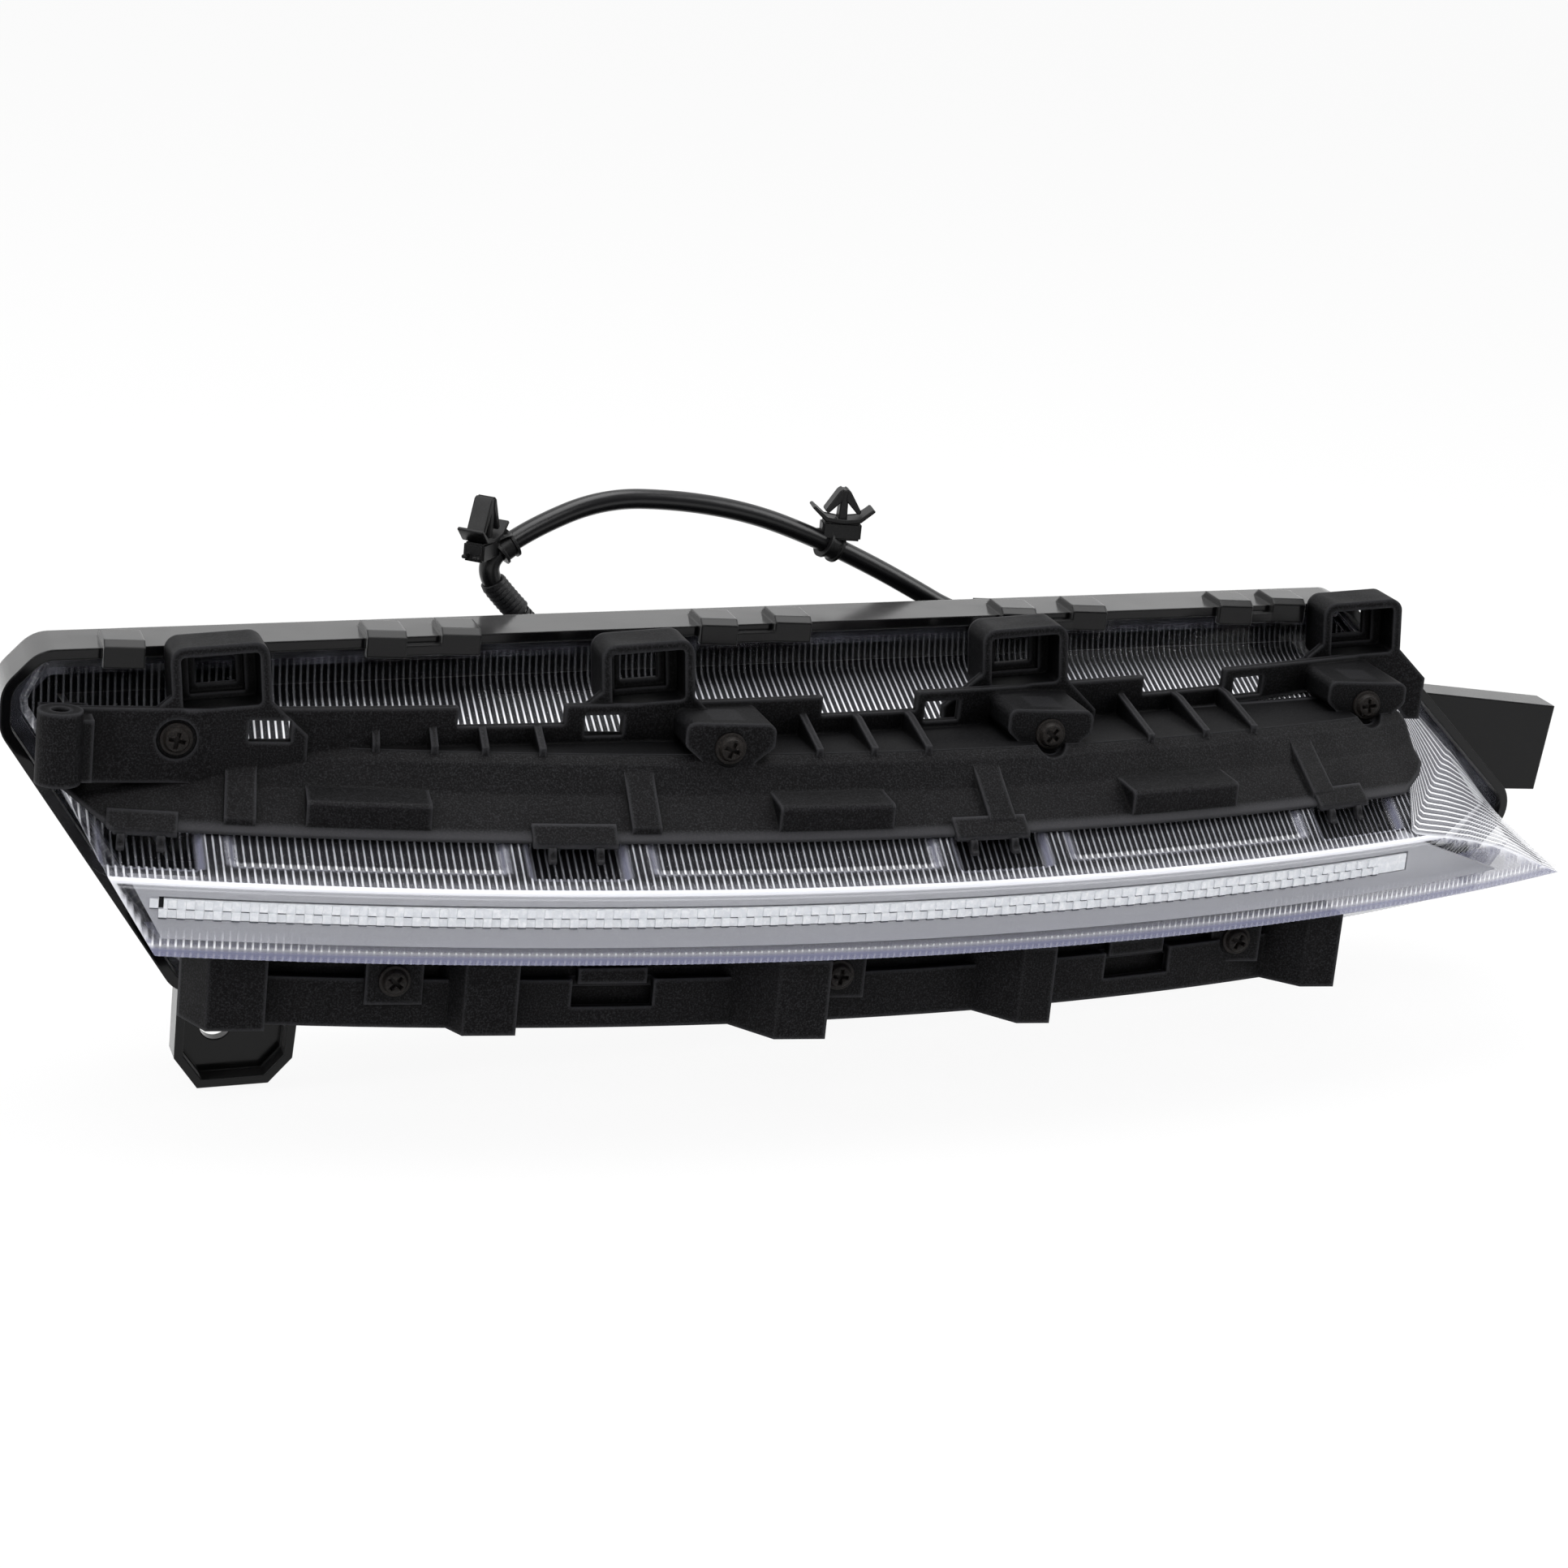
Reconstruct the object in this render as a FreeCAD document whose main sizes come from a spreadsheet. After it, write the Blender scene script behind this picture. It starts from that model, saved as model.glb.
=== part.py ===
import FreeCAD, Part
import math
import os
import Sketcher

# A driving light for one side of a car bumper: a black tray with a clear fluted lens in front,
# a light guide behind the lens, a socket bracket above, a post bracket below and a short harness.
# X runs along the lamp to its outer end, Y runs back into the bumper, Z is up.
# The origin is the middle of the mouth of the inner trim socket.

doc = FreeCAD.newDocument("driving_light")
sheet = doc.addObject("Spreadsheet::Sheet", "Sizes")
Vector = FreeCAD.Vector
Rotation = FreeCAD.Rotation
UPRIGHT = {
    "XY": Rotation(),
    "XZ": Rotation(Vector(1, 0, 0), 90),
    "YZ": Rotation(Vector(1, 1, 1), 120),
}
parts = {}


class Size:
    """A number together with the sheet expression that it comes from."""

    def __init__(self, value, text):
        self.value = value
        self.text = text

    def __add__(self, other):
        other = sized(other)
        return Size(self.value + other.value, "(%s + %s)" % (self.text, other.text))

    def __sub__(self, other):
        other = sized(other)
        return Size(self.value - other.value, "(%s - %s)" % (self.text, other.text))

    def __mul__(self, other):
        other = sized(other)
        return Size(self.value * other.value, "%s * %s" % (self.text, other.text))

    def __truediv__(self, other):
        other = sized(other)
        return Size(self.value / other.value, "%s / %s" % (self.text, other.text))

    def __radd__(self, other):
        return sized(other) + self

    def __rsub__(self, other):
        return sized(other) - self

    def __rmul__(self, other):
        return sized(other) * self

    def __neg__(self):
        return Size(-self.value, "(0 - %s)" % self.text)


def sized(number):
    if isinstance(number, Size):
        return number
    return Size(number, "(%r)" % number)


def root(term):
    return Size(math.sqrt(term.value), "sqrt(%s)" % term.text)


def size(alias, value):
    """Puts one driving dimension in the sheet."""
    size.row += 1
    sheet.set("A%d" % size.row, alias)
    sheet.set("B%d" % size.row, str(value))
    sheet.setAlias("B%d" % size.row, alias)
    return Size(value, "Sizes." + alias)


size.row = 0


def bind(thing, prop, term):
    """Sets a property and ties it to the sheet."""
    term = sized(term)
    if "." not in prop and "[" not in prop:
        setattr(thing, prop, term.value)
    thing.setExpression(prop, term.text)


def set_base(thing, base, rotation=Rotation()):
    base = [sized(b) for b in base]
    thing.Placement = FreeCAD.Placement(Vector(*[b.value for b in base]), rotation)
    for axis, term in zip("xyz", base):
        thing.setExpression("Placement.Base." + axis, term.text)


def draw(sketch, corners, arcs=()):
    """Closes a profile through the corners; arcs lists edges as (edge, centre x, centre y, radius).

    A corner on an arc gives its second coordinate as None, because the arc sets it.
    """
    arcs = {edge: rest for edge, *rest in arcs}
    count = len(corners)
    points = []
    for i, (across, up) in enumerate(corners):
        across = sized(across)
        if up is None:
            cx, cy, radius = [sized(t) for t in (arcs[i] if i in arcs else arcs[i - 1])]
            height = cy.value - math.sqrt(radius.value ** 2 - (across.value - cx.value) ** 2)
        else:
            height = sized(up).value
        points.append(Vector(across.value, height, 0))
    for i in range(count):
        start = points[i]
        end = points[(i + 1) % count]
        if i in arcs:
            cx, cy, radius = [sized(t).value for t in arcs[i]]
            circle = Part.Circle(Vector(cx, cy, 0), Vector(0, 0, 1), radius)
            angles = [math.atan2(p.y - cy, p.x - cx) for p in (start, end)]
            sketch.addGeometry(Part.ArcOfCircle(circle, min(angles), max(angles)), False)
        else:
            sketch.addGeometry(Part.LineSegment(start, end), False)

    def ends(i):
        if i in arcs and points[i].x > points[(i + 1) % count].x:
            return 2, 1
        return 1, 2

    for i in range(count):
        after = (i + 1) % count
        sketch.addConstraint(Sketcher.Constraint("Coincident", i, ends(i)[1], after, ends(after)[0]))

    def hold(kind, geometry, where, term):
        term = sized(term)
        number = sketch.addConstraint(Sketcher.Constraint(kind, -1, 1, geometry, where, term.value))
        sketch.setExpression("Constraints[%d]" % number, term.text)

    for i, (across, up) in enumerate(corners):
        hold("DistanceX", i, ends(i)[0], across)
        if up is not None:
            hold("DistanceY", i, ends(i)[0], up)
    for i, (cx, cy, radius) in arcs.items():
        hold("DistanceX", i, 3, cx)
        hold("DistanceY", i, 3, cy)
        radius = sized(radius)
        number = sketch.addConstraint(Sketcher.Constraint("Radius", i, radius.value))
        sketch.setExpression("Constraints[%d]" % number, radius.text)
    return sketch


def profile(name, plane, corners, base=(0, 0, 0), arcs=()):
    sketch = doc.addObject("Sketcher::SketchObject", name)
    set_base(sketch, base, UPRIGHT[plane])
    return draw(sketch, corners, arcs)


def extrude(name, outline, direction, length):
    solid = doc.addObject("Part::Extrusion", name)
    solid.Base = outline
    solid.DirMode = "Custom"
    solid.Dir = Vector(*direction)
    solid.Solid = True
    bind(solid, "LengthFwd", length)
    return solid


def offset(name, outline, distance):
    grown = doc.addObject("Part::Offset2D", name)
    grown.Source = outline
    bind(grown, "Value", distance)
    return grown


def fuse(name, *shapes):
    joined = doc.addObject("Part::MultiFuse", name)
    joined.Shapes = list(shapes)
    return joined


def common(name, *shapes):
    shared = doc.addObject("Part::MultiCommon", name)
    shared.Shapes = list(shapes)
    return shared


def cut(name, base, *tools):
    less = doc.addObject("Part::Cut", name)
    less.Base = base
    less.Tool = tools[0] if len(tools) == 1 else fuse(name + "_tools", *tools)
    return less


def group(name, *shapes):
    several = doc.addObject("Part::Compound", name)
    several.Links = list(shapes)
    return several


def box(name, base, length, width, height):
    block = doc.addObject("Part::Box", name)
    bind(block, "Length", length)
    bind(block, "Width", width)
    bind(block, "Height", height)
    set_base(block, base)
    return block


def rod(name, base, radius, length, direction="Y"):
    """A round bar that starts at the base and runs back or up."""
    bar = doc.addObject("Part::Cylinder", name)
    bind(bar, "Radius", radius)
    bind(bar, "Height", length)
    set_base(bar, base, Rotation(Vector(1, 0, 0), -90) if direction == "Y" else Rotation())
    return bar


def ring(name, centre, corners, left, right):
    """Sweeps a section of (radius, height) corners round an upright axis, from left to right."""
    body = doc.addObject("PartDesign::Body", name)
    set_base(body, (centre[0], centre[1], 0))
    datum = {feature.Role: feature for feature in body.Origin.OriginFeatures}
    sketch = body.newObject("Sketcher::SketchObject", name + "_section")
    sketch.AttachmentSupport = (datum["YZ_Plane"], "")
    sketch.MapMode = "FlatFace"
    draw(sketch, [(-sized(radius), height) for radius, height in corners])
    sweep_round = body.newObject("PartDesign::Revolution", name + "_sweep")
    sweep_round.Profile = sketch
    sweep_round.ReferenceAxis = (datum["Z_Axis"], [""])
    sweep_round.Type = "TwoAngles"
    bind(sweep_round, "Angle", right)
    bind(sweep_round, "Angle2", left)
    return body


def finish(label, thing):
    """Gives a finished piece its name."""
    thing.Label = label
    parts[label] = thing
    return thing


# The rim: a plane that sweeps back toward the outer end, with a slanted outline.
sweep = size("sweep", 0.23)
rim_front = size("rim_front", 20)
flange_front = size("flange_front", 23)
flange_back = size("flange_back", 26)
ledge_front = size("ledge_front", 27.5)
ledge_back = size("ledge_back", 30.5)
step_back = size("step_back", 40)
pod_back = size("pod_back", 68)
wall = size("wall", 3)
corner = size("corner", 10)
play = size("play", 0.3)
top_z = size("top_z", 5)
inner_x = size("inner_x", -57)
inner_z = size("inner_z", -17)
foot_x = size("foot_x", -4.5)
foot_z = size("foot_z", -95)
heel_x = size("heel_x", 438)
heel_z = size("heel_z", -89)
tip_x = size("tip_x", 458)
tip_z = size("tip_z", -67)
crown_x = size("crown_x", 377.5)
inner_slant = size("inner_slant", 10)
reach = size("reach", 300)
rim_outline = profile("rim_outline", "XZ", [
    (inner_x + inner_slant, top_z), (inner_x, top_z - inner_slant), (inner_x, inner_z), (foot_x, foot_z),
    (heel_x, heel_z), (tip_x, tip_z), (crown_x, top_z)], (0, -reach / 3, 0))
rim_core = offset("rim_core", rim_outline, -corner)


def swept(x, depth):
    """The Y of a point at a depth behind the swept datum plane."""
    return sized(depth) + sweep * x


def prism(name, inset):
    return extrude(name, offset(name + "_line", rim_core, corner - inset), (0, 1, 0), reach)


def slab(name, front, back):
    """A thick plane parallel to the rim, between two depths."""
    left = inner_x - 50
    right = tip_x + 50
    plan = profile(name + "_plan", "XY", [
        (left, swept(left, front)), (right, swept(right, front)),
        (right, swept(right, back)), (left, swept(left, back))], (0, 0, -reach / 2))
    return extrude(name, plan, (0, 0, 1), reach)


def band(name, inset, front, back):
    """The rim outline, drawn in by an inset, between two depths."""
    return common(name, prism(name + "_prism", inset), slab(name + "_slab", front, back))


# The lens: levels from the top edge down, each a closed outline with a straight or bowed front.
bow_x = size("bow_x", 90)
bow_y = size("bow_y", 700)
face_radius = size("face_radius", 732)
dip_radius = size("dip_radius", 707)
sill_radius = size("sill_radius", 700)
lens_wall = size("lens_wall", 2.5)
lens_top = size("lens_top", 1.2)
lens_bend = size("lens_bend", -9.3)
lens_dip = size("lens_dip", -33)
face_top = size("face_top", -48)
face_bottom = size("face_bottom", -69)
sill_bottom = size("sill_bottom", -85)


def level(name, z, rear, left_rear, left_front, right_front, right_rear, front):
    """One outline of the lens; front is a depth for a straight edge or a radius for a bowed one."""
    kind, amount = front
    corners = [(left_rear, swept(left_rear, rear)), (left_front, None),
               (right_front, None), (right_rear, swept(right_rear, rear))]
    arcs = [(1, bow_x, bow_y, amount)]
    if kind == "depth":
        corners[1] = (left_front, swept(left_front, amount))
        corners[2] = (right_front, swept(right_front, amount))
        arcs = []
    return profile(name, "XY", corners, (0, 0, z), arcs)


def loft(name, *sections):
    skin = doc.addObject("Part::Loft", name)
    skin.Sections = list(sections)
    skin.Solid = True
    skin.Ruled = True
    return skin


def lens_form(name, grow, rear):
    """The lens as a solid, grown outward all round by an amount."""
    def outline(tag, z, left_rear, left_front, right_front, right_rear, front):
        return level(name + tag, z, rear, left_rear - grow, left_front - grow,
                     right_front + grow, right_rear + grow, front)

    upper = loft(
        name + "_upper",
        outline("_top", lens_top + grow, -46, -46, 374, 374, ("depth", flange_front - grow)),
        outline("_bend", lens_bend + grow, -51.5, -51.5, 386, 387, ("depth", flange_front - 2 - grow)),
        outline("_dip", lens_dip + grow, -41, -39, 379, 411.5, ("radius", dip_radius + grow)),
        outline("_face_top", face_top + grow, -31, -30, 377, 430, ("radius", face_radius + grow)),
        outline("_face_bottom", face_bottom - grow, -17, -17, 434, 445, ("radius", face_radius + grow)))
    lower = loft(
        name + "_lower",
        outline("_sill_top", face_bottom + 5, -14, -14, 430, 440, ("radius", sill_radius + grow)),
        outline("_sill_bottom", sill_bottom - grow, -2, -2, 420, 426, ("radius", sill_radius - 1 + grow)))
    return fuse(name, upper, lower)


def bowed(x, radius):
    """The Y of a point on a circle round the bow axis."""
    gap = sized(x) - bow_x
    return bow_y - root(radius * radius - gap * gap)


screw_head = size("screw_head", 4.5)
screw_head_height = size("screw_head_height", 2.6)
screw_shank = size("screw_shank", 1.7)
screw_bore = size("screw_bore", 2)
screw_length = size("screw_length", 12)
pad_depth = size("pad_depth", 4)
tower_width = size("tower_width", 9)
tower_depth = size("tower_depth", 11)
tower_top = size("tower_top", -10.5)
upper_screw_z = size("upper_screw_z", -16)
lower_screw_z = size("lower_screw_z", -80)
UPPER_SCREWS = [(size("upper_screw_x_%d" % i, x), size("upper_screw_y_%d" % i, y)) for i, (x, y) in
                enumerate([(-11.2, 0.3), (142.3, -0.2), (244.9, 20.5), (364.1, 60)], 1)]
LOWER_SCREWS = [size("lower_screw_x_%d" % i, x) for i, x in enumerate([50, 178.5, 313.8], 1)]
sill_wall_front = size("sill_wall_front", 712)
sill_wall_back = size("sill_wall_back", 709)
towers = []
bores = []
for i, (x, y) in enumerate(UPPER_SCREWS, 1):
    seat = y + pad_depth
    towers.append(box("upper_tower_%d" % i, (x - tower_width / 2, seat, lens_dip),
                      tower_width, tower_depth, tower_top - lens_dip))
    bores.append(rod("upper_bore_%d" % i, (x, seat - 1, upper_screw_z), screw_bore, screw_length))
for i, x in enumerate(LOWER_SCREWS, 1):
    seat = bowed(x, sill_wall_back)
    towers.append(rod("lower_tower_%d" % i, (x, seat, lower_screw_z), tower_width / 2, tower_depth))
    bores.append(rod("lower_bore_%d" % i, (x, seat - 1, lower_screw_z), screw_bore, screw_length))
lens_blank = fuse("lens_blank", lens_form("lens_outer", sized(0), flange_back),
                  band("lens_flange", wall + play, flange_front, flange_back))
lens_shell = cut("lens_shell", lens_blank, lens_form("lens_inner", -lens_wall, flange_back + 2))
finish("lens", cut("lens_bored", fuse("lens_towers", lens_shell, *towers), *bores))

# The seal: a flat gasket between the lens flange and the ledge of the tray.
ledge_inset = size("ledge_inset", 6.5)
finish("lens_seal", cut(
    "seal_ring", band("seal_plate", wall + play, flange_back, ledge_front),
    band("seal_hole", ledge_inset, flange_back - 1, ledge_front + 1)))

# The tray: a rim wall with a ledge, a stepped pod behind, a fixing ear and a locating block.
pod_inset = size("pod_inset", 14)
ear_x = size("ear_x", 9.7)
ear_y = size("ear_y", 35.7)
ear_z = size("ear_z", -110.2)
ear_floor = size("ear_floor", 4)
ear_rim = size("ear_rim", 6)
ear_bore = size("ear_bore", 4.5)
tray_outer = fuse(
    "tray_outer", band("tray_front", 0, rim_front, step_back),
    band("tray_pod", pod_inset, step_back - wall, pod_back))
tray_hollow = cut(
    "tray_hollow", tray_outer,
    band("tray_channel", wall, rim_front - 1, ledge_front),
    band("tray_mouth", ledge_inset, ledge_front - 1, ledge_back + 1),
    band("tray_room", wall, ledge_back, step_back - wall),
    band("tray_pod_room", pod_inset + wall, step_back - wall - 1, pod_back - wall))
ear_outline = profile("ear_outline", "XZ", [
    (ear_x - 12, foot_z + 2), (ear_x - 12, ear_z - 8), (ear_x - 5, ear_z - 17),
    (ear_x + 15, ear_z - 15.5), (ear_x + 21.5, ear_z - 8), (ear_x + 23, foot_z + 2)],
    (0, ear_y - ear_rim, 0))
ear_plate = extrude("ear_plate", ear_outline, (0, 1, 0), ear_rim + ear_floor)
ear_dish = extrude("ear_dish", offset("ear_dish_line", ear_outline, -2.5), (0, 1, 0), ear_rim)
ear_hole = rod("ear_hole", (ear_x, ear_y - 1, ear_z), ear_bore, ear_floor + 2)
ear = cut("ear", ear_plate, ear_dish, ear_hole)
block_y = size("block_y", 125)
block_depth = size("block_depth", 13)
block_outline = profile("block_outline", "XZ", [
    (413.5, -29), (450.5, -62), (463, -62), (466, -33)], (0, block_y, 0))
block = extrude("block", block_outline, (0, 1, 0), block_depth)

# Posts in the pod meet the feet of the optic carrier.
POSTS = [size("post_x_%d" % i, x) for i, x in enumerate([40, 200, 350], 1)]
post_width = size("post_width", 12)
post_low = size("post_low", -65.5)
post_high = size("post_high", -54)
post_start = size("post_start", 32)
posts = []
post_bores = []
for i, x in enumerate(POSTS, 1):
    front = swept(x, post_start)
    posts.append(box("tray_post_%d" % i, (x - post_width / 2, front, post_low), post_width,
                     pod_back - wall - post_start + 1.5, post_high - post_low))
    post_bores.append(rod("post_bore_%d" % i, (x, front - 1, (post_low + post_high) / 2), 1.5, 10))

# Snap lugs reach over the rim along the top edge.
LUGS = [size("lug_x_%d" % i, x) for i, x in enumerate([-30, 44, 66, 146, 170, 247, 272, 326, 346], 1)]
lug_width = size("lug_width", 11)
lug_rise = size("lug_rise", 2.4)
lug_drop = size("lug_drop", 5)
lug_nose = size("lug_nose", 2.2)
lug_run = size("lug_run", 15)
lugs = []
for i, x in enumerate(LUGS, 1):
    front = swept(x, rim_front)
    strap = profile("lug_section_%d" % i, "YZ", [
        (front - lug_nose, top_z - lug_drop), (front + 0.6, top_z - lug_drop), (front + 0.6, top_z - 1),
        (front + lug_run, top_z - 1), (front + lug_run - 4, top_z + lug_rise),
        (front, top_z + lug_rise), (front - lug_nose, top_z + lug_rise - 1.6)], (x, 0, 0))
    lugs.append(extrude("lug_%d" % i, strap, (1, 0, 0), lug_width))

# A bar in front of the rim joins the two lugs of each pair.
bar_height = size("bar_height", 3)
bars = []
for i in (1, 3, 5, 7):
    low = top_z - lug_drop
    face = profile("bar_line_%d" % i, "XZ", [
        (LUGS[i], low), (LUGS[i + 1] + lug_width, low), (LUGS[i + 1] + lug_width, low + bar_height),
        (LUGS[i], low + bar_height)], (0, -reach / 3, 0))
    bars.append(common("bar_%d" % i, extrude("bar_run_%d" % i, face, (0, 1, 0), reach),
                       slab("bar_slab_%d" % i, rim_front - lug_nose, rim_front + 0.6)))
finish("rear_housing", cut(
    "tray_bored", fuse("tray", tray_hollow, ear, block, *posts, *lugs, *bars), *post_bores))

# The optic carrier: a curved channel that holds the light guide, the board and the heat sink.
bow = (bow_x, bow_y)
optic_left = size("optic_left", 8.2)
optic_right = size("optic_right", 23.2)
end_left = size("end_left", 8.9)
guide_left = size("guide_left", 8.3)
end_slant = extrude("end_slant", profile("end_slant_line", "XZ", [
    (-40, face_top), (-40, face_bottom), (-13, face_bottom), (-25, face_top)],
    (0, -reach / 3, 0)), (0, 1, 0), reach)
guide_top = size("guide_top", -54.6)
guide_bottom = size("guide_bottom", -60)
carrier_front = size("carrier_front", 723)
carrier_back = size("carrier_back", 709.9)
carrier_top = size("carrier_top", -52)
carrier_bottom = size("carrier_bottom", -65)
flange = size("flange", 1)
carrier_tail = size("carrier_tail", 701)
carrier_ring = ring("carrier_ring", bow, [
    (carrier_front, carrier_bottom), (carrier_front, carrier_top), (carrier_tail, carrier_top),
    (carrier_tail, carrier_top - flange), (carrier_back, carrier_top - flange),
    (carrier_back, carrier_bottom + flange), (carrier_tail, carrier_bottom + flange),
    (carrier_tail, carrier_bottom)], end_left, optic_right)
guide_slot = ring("guide_slot", bow, [
    (carrier_front + 1, guide_bottom), (carrier_front + 1, guide_top),
    (carrier_back - 1, guide_top), (carrier_back - 1, guide_bottom)], guide_left + 0.1, optic_right - 0.3)
feet = []
for i, x in enumerate(POSTS, 1):
    end = swept(x, post_start)
    start = bowed(x, carrier_tail + 4)
    feet.append(box("carrier_leg_%d" % i, (x - post_width / 2, start, post_low), post_width,
                    end - start, carrier_bottom + flange - post_low))
    feet.append(box("carrier_foot_%d" % i, (x - post_width / 2, end - 6, post_low), post_width,
                    6, post_high - post_low))
foot_bores = [rod("foot_bore_%d" % i, (x, swept(x, post_start) - 7, (post_low + post_high) / 2), 1.5, 8)
              for i, x in enumerate(POSTS, 1)]
finish("optic_carrier", cut("carrier_bored", fuse("carrier_feet", carrier_ring, *feet),
                            guide_slot, end_slant, *foot_bores))


def screw(name, x, y, z, head, head_height, shank, length):
    """A pan-head screw whose head faces forward."""
    return fuse(name, rod(name + "_head", (x, sized(y) - head_height, z), head, head_height),
                rod(name + "_shank", (x, y, z), shank, length))


finish("carrier_screws", group("carrier_screw_set", *[
    screw("carrier_screw_%d" % i, x, swept(x, post_start) - 6, (post_low + post_high) / 2, 2.8, 2, 1.2, 14)
    for i, x in enumerate(POSTS, 1)]))

# The light guide: a curved bar in the slot of the carrier.
guide_front = size("guide_front", 726)
guide_back = size("guide_back", 712)
finish("light_guide", ring("guide_bar", bow, [
    (guide_front, guide_bottom), (guide_front, guide_top), (guide_back, guide_top), (guide_back, guide_bottom)],
    guide_left, optic_right - 0.5))

# The bezel: a curved front plate with a window for the guide, hung on the top of the carrier.
bezel_front = size("bezel_front", 725.3)
bezel_back = size("bezel_back", 723.3)
bezel_top = size("bezel_top", -51.2)
bezel_bottom = size("bezel_bottom", -66)
bezel_plate = ring("bezel_plate", bow, [
    (bezel_front, bezel_bottom), (bezel_front, bezel_top), (bezel_back - 7, bezel_top),
    (bezel_back - 7, carrier_top), (bezel_back, carrier_top), (bezel_back, bezel_bottom)],
    end_left + 0.4, optic_right + 3.4)
bezel_window = ring("bezel_window", bow, [
    (bezel_front + 1, guide_bottom - play), (bezel_front + 1, guide_top + play),
    (bezel_back - 1, guide_top + play), (bezel_back - 1, guide_bottom - play)], guide_left + 0.1, optic_right - 0.4)
bezel_taper = extrude("bezel_taper", profile("bezel_taper_line", "XZ", [
    (366, face_top), (425, face_top), (425, face_bottom), (420, face_bottom)], (0, -reach / 3, 0)), (0, 1, 0), reach)
finish("bezel", cut("bezel_trimmed", bezel_plate, bezel_window, bezel_taper, end_slant))

# The board with its lamps, and the finned heat sink behind it.
board_front = size("board_front", 709.6)
board_back = size("board_back", 708)
sink_back = size("sink_back", 702)
finish("led_board", ring("board", bow, [
    (board_front, carrier_bottom + flange), (board_front, carrier_top - flange),
    (board_back, carrier_top - flange), (board_back, carrier_bottom + flange)], optic_left, optic_right))
finish("heat_sink", ring("sink", bow, [
    (board_back - play, carrier_bottom + flange), (board_back - play, carrier_top - flange),
    (sink_back, carrier_top - flange), (sink_back, carrier_top - 3), (sink_back + 3, carrier_top - 3),
    (sink_back + 3, carrier_top - 5.5), (sink_back, carrier_top - 5.5), (sink_back, carrier_bottom + 5.5),
    (sink_back + 3, carrier_bottom + 5.5), (sink_back + 3, carrier_bottom + 3),
    (sink_back, carrier_bottom + 3), (sink_back, carrier_bottom + flange)], optic_left, optic_right))
LED_COUNT = 28
led_pitch = size("led_pitch", 1.1)
led_first = size("led_first", -7.6)
lamps = []
for i in range(LED_COUNT):
    lamp = ring("led_%d" % i, bow, [
        (guide_back - 0.4, guide_bottom + 1.5), (guide_back - 0.4, guide_top - 1.5),
        (board_front + 0.05, guide_top - 1.5), (board_front + 0.05, guide_bottom + 1.5)],
        -(led_first + led_pitch * i) + 0.12, led_first + led_pitch * i + 0.12)
    lamps.append(lamp)
finish("leds", group("led_row", *lamps))

# The inner cover: a dark shade under the sloping top of the lens, standing on the carrier.
finish("inner_cover", ring("cover", bow, [
    (722, -49.4), (700, -36.4), (700, -38), (711, -44.5), (711, carrier_top), (713, carrier_top),
    (713, -45.7), (722, -51)], optic_left - 0.6, optic_right - 0.6))

# The driver board lies on the back wall of the pod.
tilt = math.degrees(math.atan(sweep.value))
board_wall = size("board_wall", 1.6)
driver = box("driver", (95, swept(95, pod_back - wall - board_wall * root(sweep * sweep + 1)), -60),
             80, board_wall, 34)
driver.Placement.Rotation = Rotation(Vector(0, 0, 1), tilt)
driver.setExpression("Placement.Rotation.Angle", "atan(%s)" % sweep.text)
finish("driver_board", driver)

# The upper bracket: a bowed flange and wall, a web with a shelf, four sockets and their pads.
lip_radius = size("lip_radius", 718)
crease_radius = size("crease_radius", 707)
shoulder_radius = size("shoulder_radius", 701)
lip_z = size("lip_z", -38)
crease_z = size("crease_z", -28)
shoulder_z = size("shoulder_z", -18.5)
sheet_wall = size("sheet_wall", 2.6)
bracket_left = size("bracket_left", 11)
bracket_right = size("bracket_right", 24.2)
web_x = size("web_x", -66.6)
web_y = size("web_y", 1121.2)
web_radius = size("web_radius", 1123.2)
web_top = size("web_top", -7.5)
web_left = size("web_left", 1.25)
web_right = size("web_right", 23.1)
flange_ring = ring("bracket_flange", bow, [
    (lip_radius, lip_z - sheet_wall), (lip_radius, lip_z), (crease_radius, crease_z),
    (shoulder_radius + 1.5, shoulder_z - 2.3), (shoulder_radius - 0.2, shoulder_z - 1),
    (shoulder_radius - 1.1, shoulder_z - 0.3), (shoulder_radius - sheet_wall, shoulder_z),
    (shoulder_radius - sheet_wall, shoulder_z - sheet_wall), (crease_radius - sheet_wall, crease_z - 1.5),
    (lip_radius - sheet_wall, lip_z - sheet_wall)], bracket_left, bracket_right)
web_ring = ring("bracket_web", (web_x, web_y), [
    (web_radius, crease_z), (web_radius, web_top), (web_radius - sheet_wall, web_top),
    (web_radius - sheet_wall, crease_z)], -web_left, web_right)


def webbed(x):
    """The Y of the front of the web."""
    gap = sized(x) - web_x
    return web_y - root(web_radius * web_radius - gap * gap)


shelf_left = size("shelf_left", 24)
shelf_right = size("shelf_right", 374)
shelf_plan = profile("shelf_plan", "XY", [
    (shelf_left, None), (shelf_right, None), (shelf_right, None), (shelf_left, None)],
    (0, 0, shoulder_z - sheet_wall),
    [(0, bow_x, bow_y, shoulder_radius - 1.5), (2, web_x, web_y, web_radius - 1)])
shelf = extrude("bracket_shelf", shelf_plan, (0, 0, 1), sheet_wall)

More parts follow.
